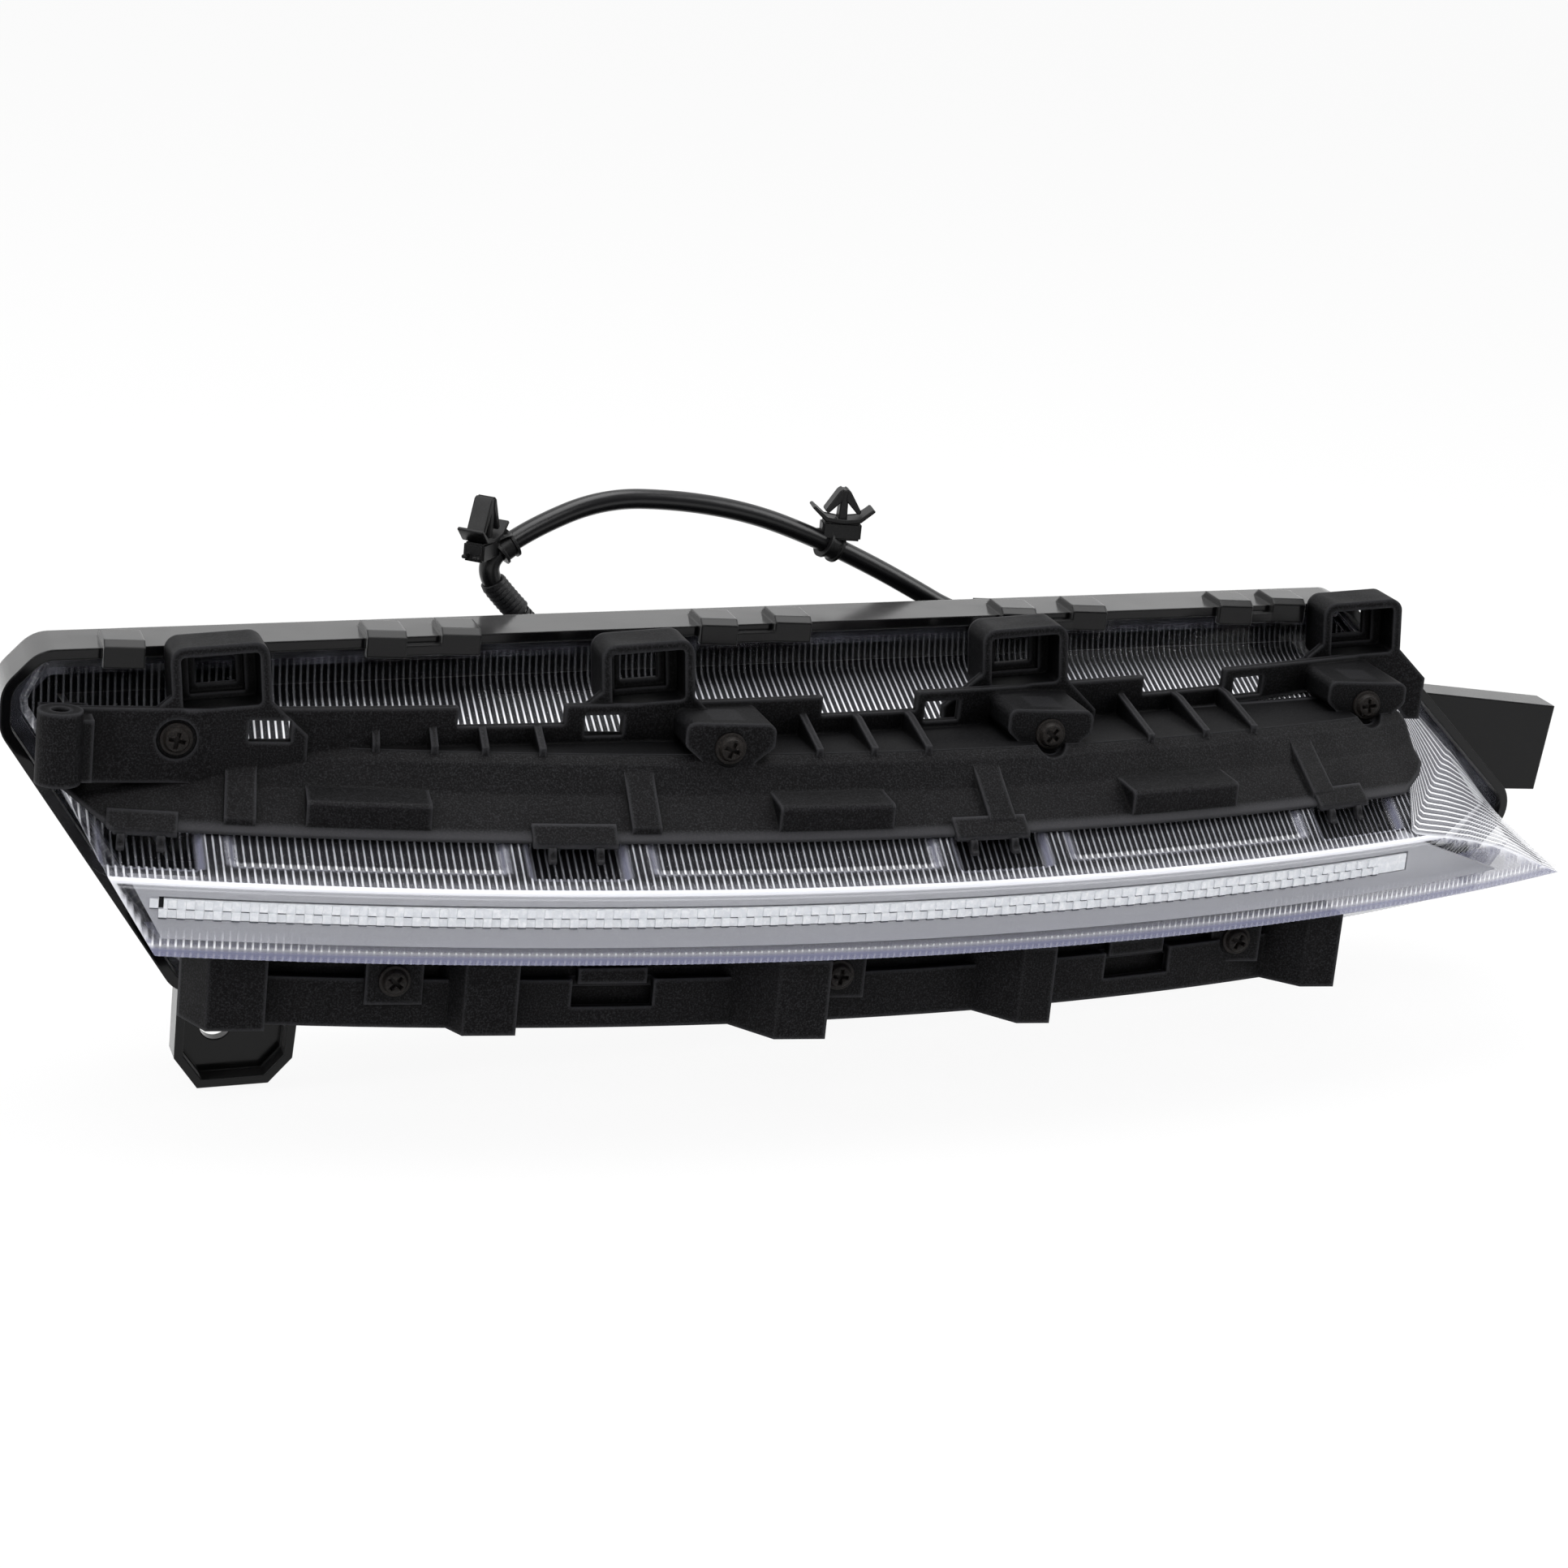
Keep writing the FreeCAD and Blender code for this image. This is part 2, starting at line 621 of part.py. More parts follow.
# Each socket is a rounded box, open in front, with a smaller window in its back.
SOCKETS = [(size("socket_x_%d" % i, x), size("socket_y_%d" % i, y)) for i, (x, y) in
           enumerate([(0, 0), (121, 13.8), (243.3, 42.4), (373.2, 87.7)], 1)]
socket_width = size("socket_width", 26.5)
socket_height = size("socket_height", 20)
socket_wall = size("socket_wall", 2.7)
socket_round = size("socket_round", 4)
socket_depth = size("socket_depth", 14)
socket_pocket = size("socket_pocket", 10)
window_width = size("window_width", 11)
window_height = size("window_height", 7.5)
frame_step = size("frame_step", 2)
frame_depth = size("frame_depth", 2)
fall = size("fall", 5.9)


def upright_rectangle(name, x, y, width, height):
    """An upright rectangle round the middle of a socket mouth, leaning with the trim line."""
    sketch = doc.addObject("Sketcher::SketchObject", name)
    lean = Rotation(Vector(0, 1, 0), -fall.value) * UPRIGHT["XZ"]
    set_base(sketch, (x, y, 0), lean)
    return draw(sketch, [(-width / 2, -height / 2), (width / 2, -height / 2),
                         (width / 2, height / 2), (-width / 2, height / 2)])


sleeves = []
hollows = []
for i, (x, y) in enumerate(SOCKETS, 1):
    tag = "socket_%d" % i
    core = upright_rectangle(tag + "_core", x, y, socket_width - socket_round * 2,
                             socket_height - socket_round * 2)
    sleeves.append(extrude(tag + "_sleeve", offset(tag + "_line", core, socket_round), (0, 1, 0), socket_depth))
    hollows.append(extrude(tag + "_pocket", offset(tag + "_pocket_line", core, socket_round - socket_wall),
                           (0, 1, 0), socket_pocket))
    frame = upright_rectangle(tag + "_frame", x, y, window_width + frame_step * 2, window_height + frame_step * 2)
    hollows.append(extrude(tag + "_frame_cut", frame, (0, 1, 0), socket_pocket + frame_depth))
    pane = upright_rectangle(tag + "_pane", x, y, window_width, window_height)
    hollows.append(extrude(tag + "_window", pane, (0, 1, 0), socket_depth + 1))
    cheek = profile(tag + "_cheek_line", "XZ", [
        (x - 24, crease_z), (x + 24, crease_z), (x + 24, web_top - 7), (x + 13, web_top + 3),
        (x - 13, web_top + 3), (x - 24, web_top - 7)], (0, y, 0))
    sleeves.append(extrude(tag + "_cheek", cheek, (0, 1, 0), sheet_wall))

# Each screw pad is a rounded shield, and where it stands ahead of the web a hood joins the two.
hood_wall = size("hood_wall", 2.5)
hood_width = size("hood_width", 26)
neck_width = size("neck_width", 15)
pads = []
pad_holes = []
for i, (x, y) in enumerate(UPPER_SCREWS, 1):
    half = hood_width / 2 - hood_wall
    neck = neck_width / 2 - hood_wall
    core = profile("pad_core_%d" % i, "XZ", [
        (x - half, upper_screw_z + 4.5), (x - half, upper_screw_z + 1.5), (x - neck, upper_screw_z - 3),
        (x - neck, upper_screw_z - 6.5), (x + neck, upper_screw_z - 6.5), (x + neck, upper_screw_z - 3),
        (x + half, upper_screw_z + 1.5), (x + half, upper_screw_z + 4.5)], (0, y, 0))
    shield = offset("pad_line_%d" % i, core, hood_wall)
    pads.append(extrude("pad_%d" % i, shield, (0, 1, 0), pad_depth))
    if i > 1:
        pads.append(extrude("hood_%d" % i, shield, (0, 1, 0), webbed(x + half) - y))
        room = profile("hood_core_%d" % i, "XZ", [
            (x - neck, upper_screw_z - 6.5), (x + neck, upper_screw_z - 6.5),
            (x + neck, upper_screw_z + 4.5), (x - neck, upper_screw_z + 4.5)], (0, y + pad_depth, 0))
        pad_holes.append(extrude("hood_room_%d" % i, room, (0, 1, 0), webbed(x - half) - y - pad_depth))
    pad_holes.append(rod("pad_hole_%d" % i, (x, y - 1, upper_screw_z), screw_bore + 0.2, pad_depth + 2))
    pad_holes.append(rod("pad_face_%d" % i, (x, y - 12, upper_screw_z), screw_head + 1, 12))
    pad_holes.append(box("pad_room_%d" % i, (x - tower_width / 2 - play, y + pad_depth, lens_dip - 5),
                         tower_width + play * 2, tower_depth + play, tower_top + play - lens_dip + 5))
boss_x = size("boss_x", -43)
boss_y = size("boss_y", -8.5)
boss_top = size("boss_top", -6)
boss_foot = size("boss_foot", -26)
boss_radius = size("boss_radius", 6)
boss = rod("bracket_boss", (boss_x, boss_y, boss_foot), boss_radius, boss_top - boss_foot, "Z")
boss_arm = box("bracket_boss_arm", (boss_x - boss_radius + 2, boss_y, boss_foot), boss_radius * 2 + 1,
               bowed(boss_x, shoulder_radius) - 3 - boss_y, boss_top - 3 - boss_foot)
boss_hole = rod("bracket_boss_hole", (boss_x, boss_y, boss_foot - 1), 2.5, boss_top - boss_foot + 2, "Z")
end_trims = [
    extrude("inner_trim", profile("inner_trim_line", "XZ", [
        (boss_x - 30, boss_foot), (boss_x - 5, boss_foot), (boss_x + 15, lip_z - 1), (boss_x + 15, lip_z - 20),
        (boss_x - 30, lip_z - 20)], (0, -reach / 3, 0)), (0, 1, 0), reach),
    extrude("outer_trim", profile("outer_trim_line", "XZ", [
        (shelf_right - 3, lip_z - 20), (shelf_right - 3, lip_z - 0.5), (shelf_right + 5, lip_z + 3.5),
        (shelf_right + 10, lip_z + 9), (shelf_right + 30, lip_z + 9), (shelf_right + 30, lip_z - 20)],
        (0, -reach / 3, 0)), (0, 1, 0), reach)]

# Gussets, raised pads and clip bars on the flange, each at a turn in degrees round the bow.
gusset_half = size("gusset_half", 0.34)
GUSSETS = [size("gusset_turn_%d" % i, turn) for i, turn in enumerate([-6.8, 2.1, 10.8, 20.3], 1)]
RAISED = [(size("raised_from_%d" % i, start), size("raised_to_%d" % i, end)) for i, (start, end) in
          enumerate([(-5.4, -2.7), (5.2, 8), (14.4, 17.5)], 1)]
CLIPS = [(size("clip_from_%d" % i, start), size("clip_to_%d" % i, end)) for i, (start, end) in
         enumerate([(-9.6, -8.1), (-0.5, 1.4), (9.5, 11.4), (20, 21.6)], 1)]
flange_forms = []
for i, turn in enumerate(GUSSETS, 1):
    flange_forms.append(ring("gusset_%d" % i, bow, [
        (lip_radius - 1.7, lip_z), (lip_radius - 1.7, lip_z + 3.4), (shoulder_radius + 0.6, shoulder_z - 2),
        (shoulder_radius - 1, shoulder_z - 2), (crease_radius - 1, crease_z - 1)],
        gusset_half - turn, gusset_half + turn))
for i, (start, end) in enumerate(RAISED, 1):
    flange_forms.append(ring("raised_pad_%d" % i, bow, [
        (lip_radius - 2, lip_z), (lip_radius - 2, crease_z - 1.8), (lip_radius - 2.8, crease_z - 1),
        (crease_radius - 1.6, crease_z + 0.8), (crease_radius - 2, crease_z - 1)], -start, end))
for i, (start, end) in enumerate(CLIPS, 1):
    flange_forms.append(ring("clip_bar_%d" % i, bow, [
        (lip_radius + 1.6, lip_z - sheet_wall), (lip_radius + 1.6, lip_z), (lip_radius - 3, lip_z + 4.2),
        (lip_radius - 4, lip_z + 2.5), (lip_radius - 2, lip_z - sheet_wall)], -start, end))

# Openings beside the sockets, and notches along the top of the web.
vents = []
vent_width = size("vent_width", 11.5)
vent_low = size("vent_low", -16.5)
vent_high = size("vent_high", -10.5)
for i, x in enumerate([size("vent_x_%d" % i, x) for i, x in enumerate([8, 103, 210, 322], 1)], 1):
    vents.append(box("web_vent_%d" % i, (x, webbed(x) - 3, vent_low), vent_width,
                     webbed(x + vent_width) - webbed(x) + sheet_wall + 6, vent_high - vent_low))
notch_low = size("notch_low", -13)
notch_width = size("notch_width", 31)
for i, x in enumerate([size("notch_x_%d" % i, x) for i, x in enumerate([66, 176, 287], 1)], 1):
    vents.append(box("web_notch_%d" % i, (x, webbed(x) - 0.5, notch_low), notch_width,
                     webbed(x + notch_width) - webbed(x) + sheet_wall + 2, web_top + 1 - notch_low))
rib_top = size("rib_top", -12)
ribs = []
for i, x in enumerate([42, 58, 72, 88, 169, 186, 203, 278, 298, 316], 1):
    back = webbed(x) + 1
    rib = profile("rib_line_%d" % i, "YZ", [
        (back, shoulder_z - 1), (back, rib_top), (bowed(x, shoulder_radius) + 0.5, shoulder_z + 1.5),
        (bowed(x, shoulder_radius) + 0.5, shoulder_z - 1)], (x, 0, 0))
    ribs.append(extrude("rib_%d" % i, rib, (1, 0, 0), 2))
bracket_blank = fuse("bracket_blank", flange_ring, web_ring, shelf, boss, boss_arm, *sleeves, *pads, *ribs,
                     *flange_forms)
bracket_clear = lens_form("bracket_clear", play * 2, flange_back)
finish("upper_bracket", cut("bracket_cut", bracket_blank, bracket_clear, boss_hole, *hollows, *pad_holes,
                            *end_trims, *vents))
finish("upper_bracket_screws", group("upper_screw_set", *[
    screw("upper_screw_%d" % i, x, y, upper_screw_z, screw_head, screw_head_height, screw_shank, screw_length)
    for i, (x, y) in enumerate(UPPER_SCREWS, 1)]))

# The lower bracket: a bowed wall below the lens face with forward posts and two pockets.
sill_low = size("sill_low", -94)
sill_high = size("sill_high", -71)
sill_left = size("sill_left", 7.4)
sill_right = size("sill_right", 21)
sill_step = size("sill_step", 4)
sill_ledge = size("sill_ledge", -80)
sill_ring = ring("sill_ring", bow, [
    (sill_wall_front, sill_low), (sill_wall_front, sill_ledge), (sill_wall_front - sill_step, sill_ledge),
    (sill_wall_front - sill_step, sill_high), (sill_wall_back - sill_step, sill_high),
    (sill_wall_back - sill_step, sill_low), (sill_wall_back - 1.2, sill_low),
    (sill_wall_back - 1.2, sill_ledge - 3), (sill_wall_back + 0.5, sill_ledge - 3), (sill_wall_back + 0.5, sill_low)],
    sill_left, sill_right)
struts = []
for i, (x, width, run) in enumerate([(7, 16, 6), (76, 15, 6), (164, 15, 14), (238, 10, 14), (341, 11, 14)], 1):
    root_left = bowed(x - width / 2 - run, sill_wall_front) + sill_step + 1
    root_right = bowed(x + width / 2, sill_wall_front) + sill_step + 1
    plan = profile("strut_plan_%d" % i, "XY", [
        (x - width / 2 - run, root_left), (x - width / 2, bowed(x, sill_wall_front) - run),
        (x + width / 2, bowed(x, sill_wall_front) - run), (x + width / 2, root_right)], (0, 0, sill_low))
    struts.append(extrude("strut_%d" % i, plan, (0, 0, 1), sill_high - sill_low))
sill_holes = [rod("sill_hole_%d" % i, (x, bowed(x, sill_wall_front) - 6, lower_screw_z), screw_bore + 0.2, 12)
              for i, x in enumerate(LOWER_SCREWS, 1)]
sill_faces = [rod("sill_face_%d" % i, (x, bowed(x, sill_wall_front) - 13, lower_screw_z), screw_head + 1, 12)
              for i, x in enumerate(LOWER_SCREWS, 1)]
sill_pads = [box("sill_pad_%d" % i, (x - 8, bowed(x, sill_wall_front) - 1, lower_screw_z - 7), 16, 2.5, 14)
             for i, x in enumerate(LOWER_SCREWS, 1)]
sill_seats = [box("sill_seat_%d" % i, (x - 5, bowed(x, sill_wall_back) - 1, lower_screw_z - 5), 10, 1, 10)
              for i, x in enumerate(LOWER_SCREWS, 1)]
sill_relief = [box("sill_relief_%d" % i, (x - 5, bowed(x, sill_wall_back), lower_screw_z - 5), 10, 9, 10)
               for i, x in enumerate(LOWER_SCREWS, 1)]
POCKETS = [(size("pocket_from_%d" % i, start), size("pocket_to_%d" % i, end)) for i, (start, end) in
           enumerate([(0.8, 2.7), (14.4, 16.3)], 1)]
sill_pockets = [ring("sill_pocket_%d" % i, bow, [
    (sill_wall_front + 2, sill_low + 6), (sill_wall_front + 2, sill_ledge + 1),
    (sill_wall_back - 0.5, sill_ledge + 1), (sill_wall_back - 0.5, sill_low + 6)], -start, end)
    for i, (start, end) in enumerate(POCKETS, 1)]
sill_tabs = [ring("sill_tab_%d" % i, bow, [
    (sill_wall_front - 1, sill_ledge - 1.5), (sill_wall_front - 1, sill_ledge + 3),
    (sill_wall_front - sill_step - 1, sill_ledge + 3), (sill_wall_front - sill_step - 1, sill_ledge - 1.5)],
    -start - 0.15, end - 0.15) for i, (start, end) in enumerate(POCKETS, 1)]
sill_notched = cut("sill_notched", sill_ring, *sill_pockets)
finish("lower_bracket", cut(
    "sill_cut", fuse("sill_blank", sill_notched, *sill_tabs, *struts, *sill_pads, *sill_seats),
    *sill_holes, *sill_faces, *sill_relief))
finish("lower_bracket_screws", group("lower_screw_set", *[
    screw("lower_screw_%d" % i, x, bowed(x, sill_wall_front) - 1, lower_screw_z, screw_head,
          screw_head_height, screw_shank, screw_length) for i, x in enumerate(LOWER_SCREWS, 1)]))

# A vent cap on the back of the pod.
vent = rod("vent", (330, swept(330, pod_back), -45), 9, 4)
vent.Placement.Rotation = Rotation(Vector(0, 0, 1), tilt) * Rotation(Vector(1, 0, 0), -90)
finish("vent_cap", vent)

# The harness: a sleeved cable that arches over the tray from a grommet to a parked connector.
cable_depth = size("cable_depth", 53)
cable_radius = size("cable_radius", 3)
pod_top = top_z - pod_inset
grommet_x = size("grommet_x", 105)
grommet_height = size("grommet_height", 2)
finish("harness_grommet", rod("grommet", (grommet_x, swept(grommet_x, cable_depth), pod_top), 5.5,
                              grommet_height, "Z"))
ROUTE = [(104.5, -4.6), (96, 3), (83.6, 16.7), (98.5, 27), (121, 35.8), (146, 34.8), (170, 30.5),
         (192, 22.6), (213, 13.2), (228.5, 5.4), (242, -1.8), (252, -4.9)]
route = [Vector(x, swept(x, cable_depth).value, z) for x, z in ROUTE]
pieces = []
start = route[0]
for before, turn, after in zip(route, route[1:], route[2:]):
    leave = (before - turn).normalize()
    enter = (after - turn).normalize()
    angle = math.pi - leave.getAngle(enter)
    trim = 0.45 * min((before - turn).Length, (after - turn).Length)
    print("bend radius %.1f" % (trim / math.tan(angle / 2)))
    radius = trim / math.tan(angle / 2)
    bisector = (leave + enter).normalize()
    middle = turn + bisector * (radius / math.cos(angle / 2) - radius)
    first = turn + leave * trim
    last = turn + enter * trim
    pieces.append(Part.LineSegment(start, first).toShape())
    pieces.append(Part.Arc(first, middle, last).toShape())
    start = last
pieces.append(Part.LineSegment(start, route[-1]).toShape())
spine = Part.Wire(pieces)
section = Part.Wire([Part.Circle(route[0], route[1] - route[0], cable_radius.value).toShape()])
sleeve = doc.addObject("Part::Feature", "sleeve")
sleeve.Shape = spine.makePipeShell([section], True, False)
print("sleeve length %.1f, volume over section %.1f" % (
    spine.Length, sleeve.Shape.Volume / (math.pi * cable_radius.value ** 2)))
finish("harness_sleeve", sleeve)


def on_cable(start, end, share):
    """A placement on a straight run of the cable, with Z along the run and X level."""
    here = start + (end - start) * share
    return FreeCAD.Placement(here, Rotation(Vector(0, 1, 0), Vector(), (end - start).normalize(), "ZXY"))


def turned(thing, where, shift=Vector(), rotation=Rotation()):
    for axis in "xyz":
        thing.setExpression("Placement.Base." + axis, None)
    thing.Placement = where * FreeCAD.Placement(shift, rotation)
    return thing


def collar(name, where, outer, length):
    """A round band that sits on the cable."""
    band_out = turned(rod(name + "_band", (0, 0, 0), outer, length, "Z"), where, Vector(0, 0, -length / 2))
    band_in = turned(rod(name + "_hole", (0, 0, 0), cable_radius + play, length + 2, "Z"), where,
                     Vector(0, 0, -length / 2 - 1))
    return cut(name, band_out, band_in)


def tie(name, where, tip_x, tip_z):
    """A cable tie with a fir-tree fastener that points up."""
    here = where.Base
    foot = Vector(tip_x, swept(tip_x, cable_depth).value, here.z + 5)
    bridge = box(name + "_bridge", (min(here.x, foot.x) - 1.5, foot.y - 2.5, here.z + 4.6),
                 abs(foot.x - here.x) + 2, 5, 2.6)
    wing = rod(name + "_wing", (foot.x, foot.y, here.z + 6.5), 6, 1.2, "Z")
    stalk = rod(name + "_stalk", (foot.x, foot.y, here.z + 6), 1.7, tip_z - here.z - 7, "Z")
    tree = []
    for step in range(3):
        cone = doc.addObject("Part::Cone", "%s_cone_%d" % (name, step))
        cone.Radius1 = 4 - step * 0.8
        cone.Radius2 = 1.5
        cone.Height = 3
        cone.Placement.Base = Vector(foot.x, foot.y, tip_z - 9 + step * 3)
        tree.append(cone)
    return finish(name, fuse(name + "_whole", collar(name + "_collar", where, 5.2, 4), bridge, wing, stalk, *tree))


finish("harness_tape", collar("tape", on_cable(route[1], route[2], 0.3), 3.9, 6))
tie("harness_tie_left", on_cable(route[2], route[3], 0.5), 84, 38)
tie("harness_tie_right", on_cable(route[7], route[8], 0.28), 198.5, 38)
connector_x = size("connector_x", 253)
finish("harness_connector", box("connector", (connector_x, swept(connector_x, cable_depth) - 5, pod_top),
                                22, 12, 9))

doc.recompute()
for thing in doc.Objects:
    if "Invalid" in thing.State or "Error" in thing.State:
        raise RuntimeError("%s did not build" % thing.Name)
os.makedirs("parts", exist_ok=True)
for label, thing in parts.items():
    if thing.Shape.isNull() or not thing.Shape.isValid():
        raise RuntimeError("%s has no sound shape" % label)
    thing.Shape.exportStep("parts/%s.step" % label)
    print("%s: %d solids, %.0f mm3" % (label, len(thing.Shape.Solids), thing.Shape.Volume))
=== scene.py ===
import math

import bmesh
import bpy
from mathutils import Matrix, Vector


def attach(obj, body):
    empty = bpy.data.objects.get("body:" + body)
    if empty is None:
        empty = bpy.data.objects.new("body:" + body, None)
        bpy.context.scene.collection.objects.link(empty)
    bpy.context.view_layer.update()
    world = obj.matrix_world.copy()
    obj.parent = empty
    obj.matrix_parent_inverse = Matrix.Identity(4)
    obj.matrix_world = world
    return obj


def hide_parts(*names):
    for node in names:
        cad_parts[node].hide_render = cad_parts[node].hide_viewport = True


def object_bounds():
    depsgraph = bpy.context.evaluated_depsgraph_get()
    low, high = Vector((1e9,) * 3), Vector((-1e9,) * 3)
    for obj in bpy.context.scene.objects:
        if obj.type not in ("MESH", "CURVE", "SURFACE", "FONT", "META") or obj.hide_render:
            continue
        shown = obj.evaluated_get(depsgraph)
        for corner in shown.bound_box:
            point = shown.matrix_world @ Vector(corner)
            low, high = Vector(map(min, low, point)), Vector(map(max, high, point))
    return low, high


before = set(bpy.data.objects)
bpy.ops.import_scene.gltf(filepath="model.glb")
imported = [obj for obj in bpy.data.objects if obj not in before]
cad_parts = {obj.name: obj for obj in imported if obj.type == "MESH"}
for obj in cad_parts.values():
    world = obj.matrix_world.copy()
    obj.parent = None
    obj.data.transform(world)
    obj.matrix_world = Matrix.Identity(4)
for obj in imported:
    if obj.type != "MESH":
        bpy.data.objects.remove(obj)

cad_box = [list(corner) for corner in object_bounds()]

# Camera.
# A long lens a metre in front of the lamp, a little to its inner side and above it.
# The frame is square, and the lamp runs uphill to the right in it.
scene = bpy.context.scene
scene.view_settings.view_transform = "Standard"
CAMERA_AT = Vector((-0.15795, -0.97539, 0.26789))
azimuth, elevation, roll = (math.radians(angle) for angle in (-18.0, 16.0, 5.91))
back = Vector((math.sin(azimuth) * math.cos(elevation), -math.cos(azimuth) * math.cos(elevation),
               math.sin(elevation)))
level = Vector((math.cos(azimuth), math.sin(azimuth), 0))
upward = back.cross(level)
across = level * math.cos(roll) + upward * math.sin(roll)
above = upward * math.cos(roll) - level * math.sin(roll)
camera_data = bpy.data.cameras.new("camera")
camera_data.sensor_width = 36.0
camera_data.lens = 87.58
camera_data.clip_end = 50.0
camera = bpy.data.objects.new("camera", camera_data)
camera.matrix_world = Matrix.Translation(CAMERA_AT) @ Matrix((across, above, back)).transposed().to_4x4()
scene.collection.objects.link(camera)
scene.camera = camera


# Floor and studio light.
# A white paper sweep under the lamp, lit by large soft boxes above it, in front and to each side.
# The room in front of the lamp is dim, so that the black mouldings keep their depth.
def linear(colour):
    """Turns an sRGB hex colour into the linear values that the shaders take."""
    channels = [int(colour[i:i + 2], 16) / 255 for i in (1, 3, 5)]
    return tuple(c / 12.92 if c <= 0.04045 else ((c + 0.055) / 1.055) ** 2.4 for c in channels) + (1.0,)


def add_node(tree, kind, settings=None, links=None):
    """Adds a node; settings name its inputs or its properties, and links join its inputs to outputs."""
    node = tree.nodes.new(kind)
    for name, value in (settings or {}).items():
        if isinstance(name, int) or name in node.inputs:
            node.inputs[name].default_value = value
        else:
            setattr(node, name, value)
    for name, source in (links or {}).items():
        tree.links.new(source, node.inputs[name])
    return node


def new_finish(name, settings):
    """A material with one Principled shader; returns the material, its tree and the shader."""
    material = bpy.data.materials.new(name)
    material.use_nodes = True
    tree = material.node_tree
    shader = tree.nodes["Principled BSDF"]
    for socket, value in settings.items():
        shader.inputs[socket].default_value = value
    return material, tree, shader


FLOOR_GAP, FLOOR_WHITE = 0.0005, 0.92
floor_z = cad_box[0][2] - FLOOR_GAP
floor_mesh = bpy.data.meshes.new("paper_sweep")
floor_corners = [(-4, -3, floor_z), (4, -3, floor_z), (4, 9, floor_z), (-4, 9, floor_z)]
floor_mesh.from_pydata(floor_corners, [], [(0, 1, 2, 3)])
floor = bpy.data.objects.new("paper_sweep", floor_mesh)
scene.collection.objects.link(floor)
# White paper: matt, and for the eye, mirrors and glass mostly as white as the background.
paper, tree, shader = new_finish("white_paper", {"Base Color": linear("#f2f2f2"), "Roughness": 0.9})
rays = add_node(tree, "ShaderNodeLightPath")
seen = add_node(tree, "ShaderNodeMath", {"operation": "MAXIMUM"},
                {0: rays.outputs["Is Camera Ray"], 1: rays.outputs["Is Transmission Ray"]})
seen = add_node(tree, "ShaderNodeMath", {"operation": "MAXIMUM"},
                {0: seen.outputs[0], 1: rays.outputs["Is Glossy Ray"]})
share = add_node(tree, "ShaderNodeMath", {"operation": "MULTIPLY", 1: FLOOR_WHITE}, {0: seen.outputs[0]})
glow = add_node(tree, "ShaderNodeEmission", {"Color": (1, 1, 1, 1), "Strength": 1.0})
blend = add_node(tree, "ShaderNodeMixShader", None,
                 {0: share.outputs[0], 1: shader.outputs[0], 2: glow.outputs[0]})
tree.links.new(blend.outputs[0], tree.nodes["Material Output"].inputs["Surface"])
floor_mesh.materials.append(paper)

world = bpy.data.worlds.new("studio")
scene.world = world
world.use_nodes = True
tree = world.node_tree
rays = add_node(tree, "ShaderNodeLightPath")
where = add_node(tree, "ShaderNodeTexCoord")
parts = add_node(tree, "ShaderNodeSeparateXYZ", None, {0: where.outputs["Generated"]})
# The sweep is white behind and greyer overhead, and falls to a dim room in front.
sweep_light = add_node(tree, "ShaderNodeMapRange", {
    "From Min": -0.75, "From Max": 0.6, "To Min": 0.06, "To Max": 0.9}, {"Value": parts.outputs["Y"]})
seen = add_node(tree, "ShaderNodeMath", {"operation": "MAXIMUM"},
                {0: rays.outputs["Is Camera Ray"], 1: rays.outputs["Is Transmission Ray"]})
strength = add_node(tree, "ShaderNodeMath", {"operation": "MAXIMUM"},
                    {0: seen.outputs[0], 1: sweep_light.outputs[0]})
tree.links.new(strength.outputs[0], tree.nodes["Background"].inputs["Strength"])
tree.nodes["Background"].inputs["Color"].default_value = (1, 1, 1, 1)

# Each soft box: its name, place in metres, size in metres and power in watts.
BOXES = [("top_box", (0.15, 0.1, 1.3), (1.4, 0.9), 16), ("inner_box", (-1.2, -0.2, 0.8), (0.8, 1.0), 9),
         ("outer_box", (1.5, -0.1, 0.8), (0.8, 1.0), 9), ("front_box", (0.0, -1.6, 1.2), (1.2, 0.8), 15)]
BOX_AIM = Vector((0.2, 0.04, -0.04))
for name, place, size, power in BOXES:
    lamp = bpy.data.lights.new(name, "AREA")
    lamp.shape = "RECTANGLE"
    lamp.size, lamp.size_y = size
    lamp.energy = power
    box = bpy.data.objects.new(name, lamp)
    box.location = place
    box.rotation_euler = (BOX_AIM - Vector(place)).to_track_quat("-Z", "Y").to_euler()
    scene.collection.objects.link(box)


# Harness.
# A short lead in a soft black PVC sleeve that arches from the grommet over the housing to a connector
# parked on the back of the pod. Tape binds its end, and two nylon ties with arrowhead clips sit on it.
MM = 0.001
ROUTE = [(104.5, -4.6), (96, 3), (83.6, 16.7), (98.5, 27), (121, 35.8), (146, 34.8), (170, 30.5),
         (192, 22.6), (213, 13.2), (228.5, 5.4), (242, -1.8), (252, -4.9)]
CABLE_DEPTH, SWEEP, CABLE_WIDTH, CABLE_LENGTH = 53, 0.23, 6, 0.2107


def swept(x, depth):
    """The y, in mm, of a place at a depth behind the swept datum plane."""
    return depth + SWEEP * x


def piece(name, mesh, slot, *replaced):
    """Links a finished mesh as a piece of the lamp; its slot is not used."""
    thing = bpy.data.objects.new(name, mesh)
    scene.collection.objects.link(thing)
    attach(thing, "root")
    if replaced:
        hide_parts(*replaced)
    return thing


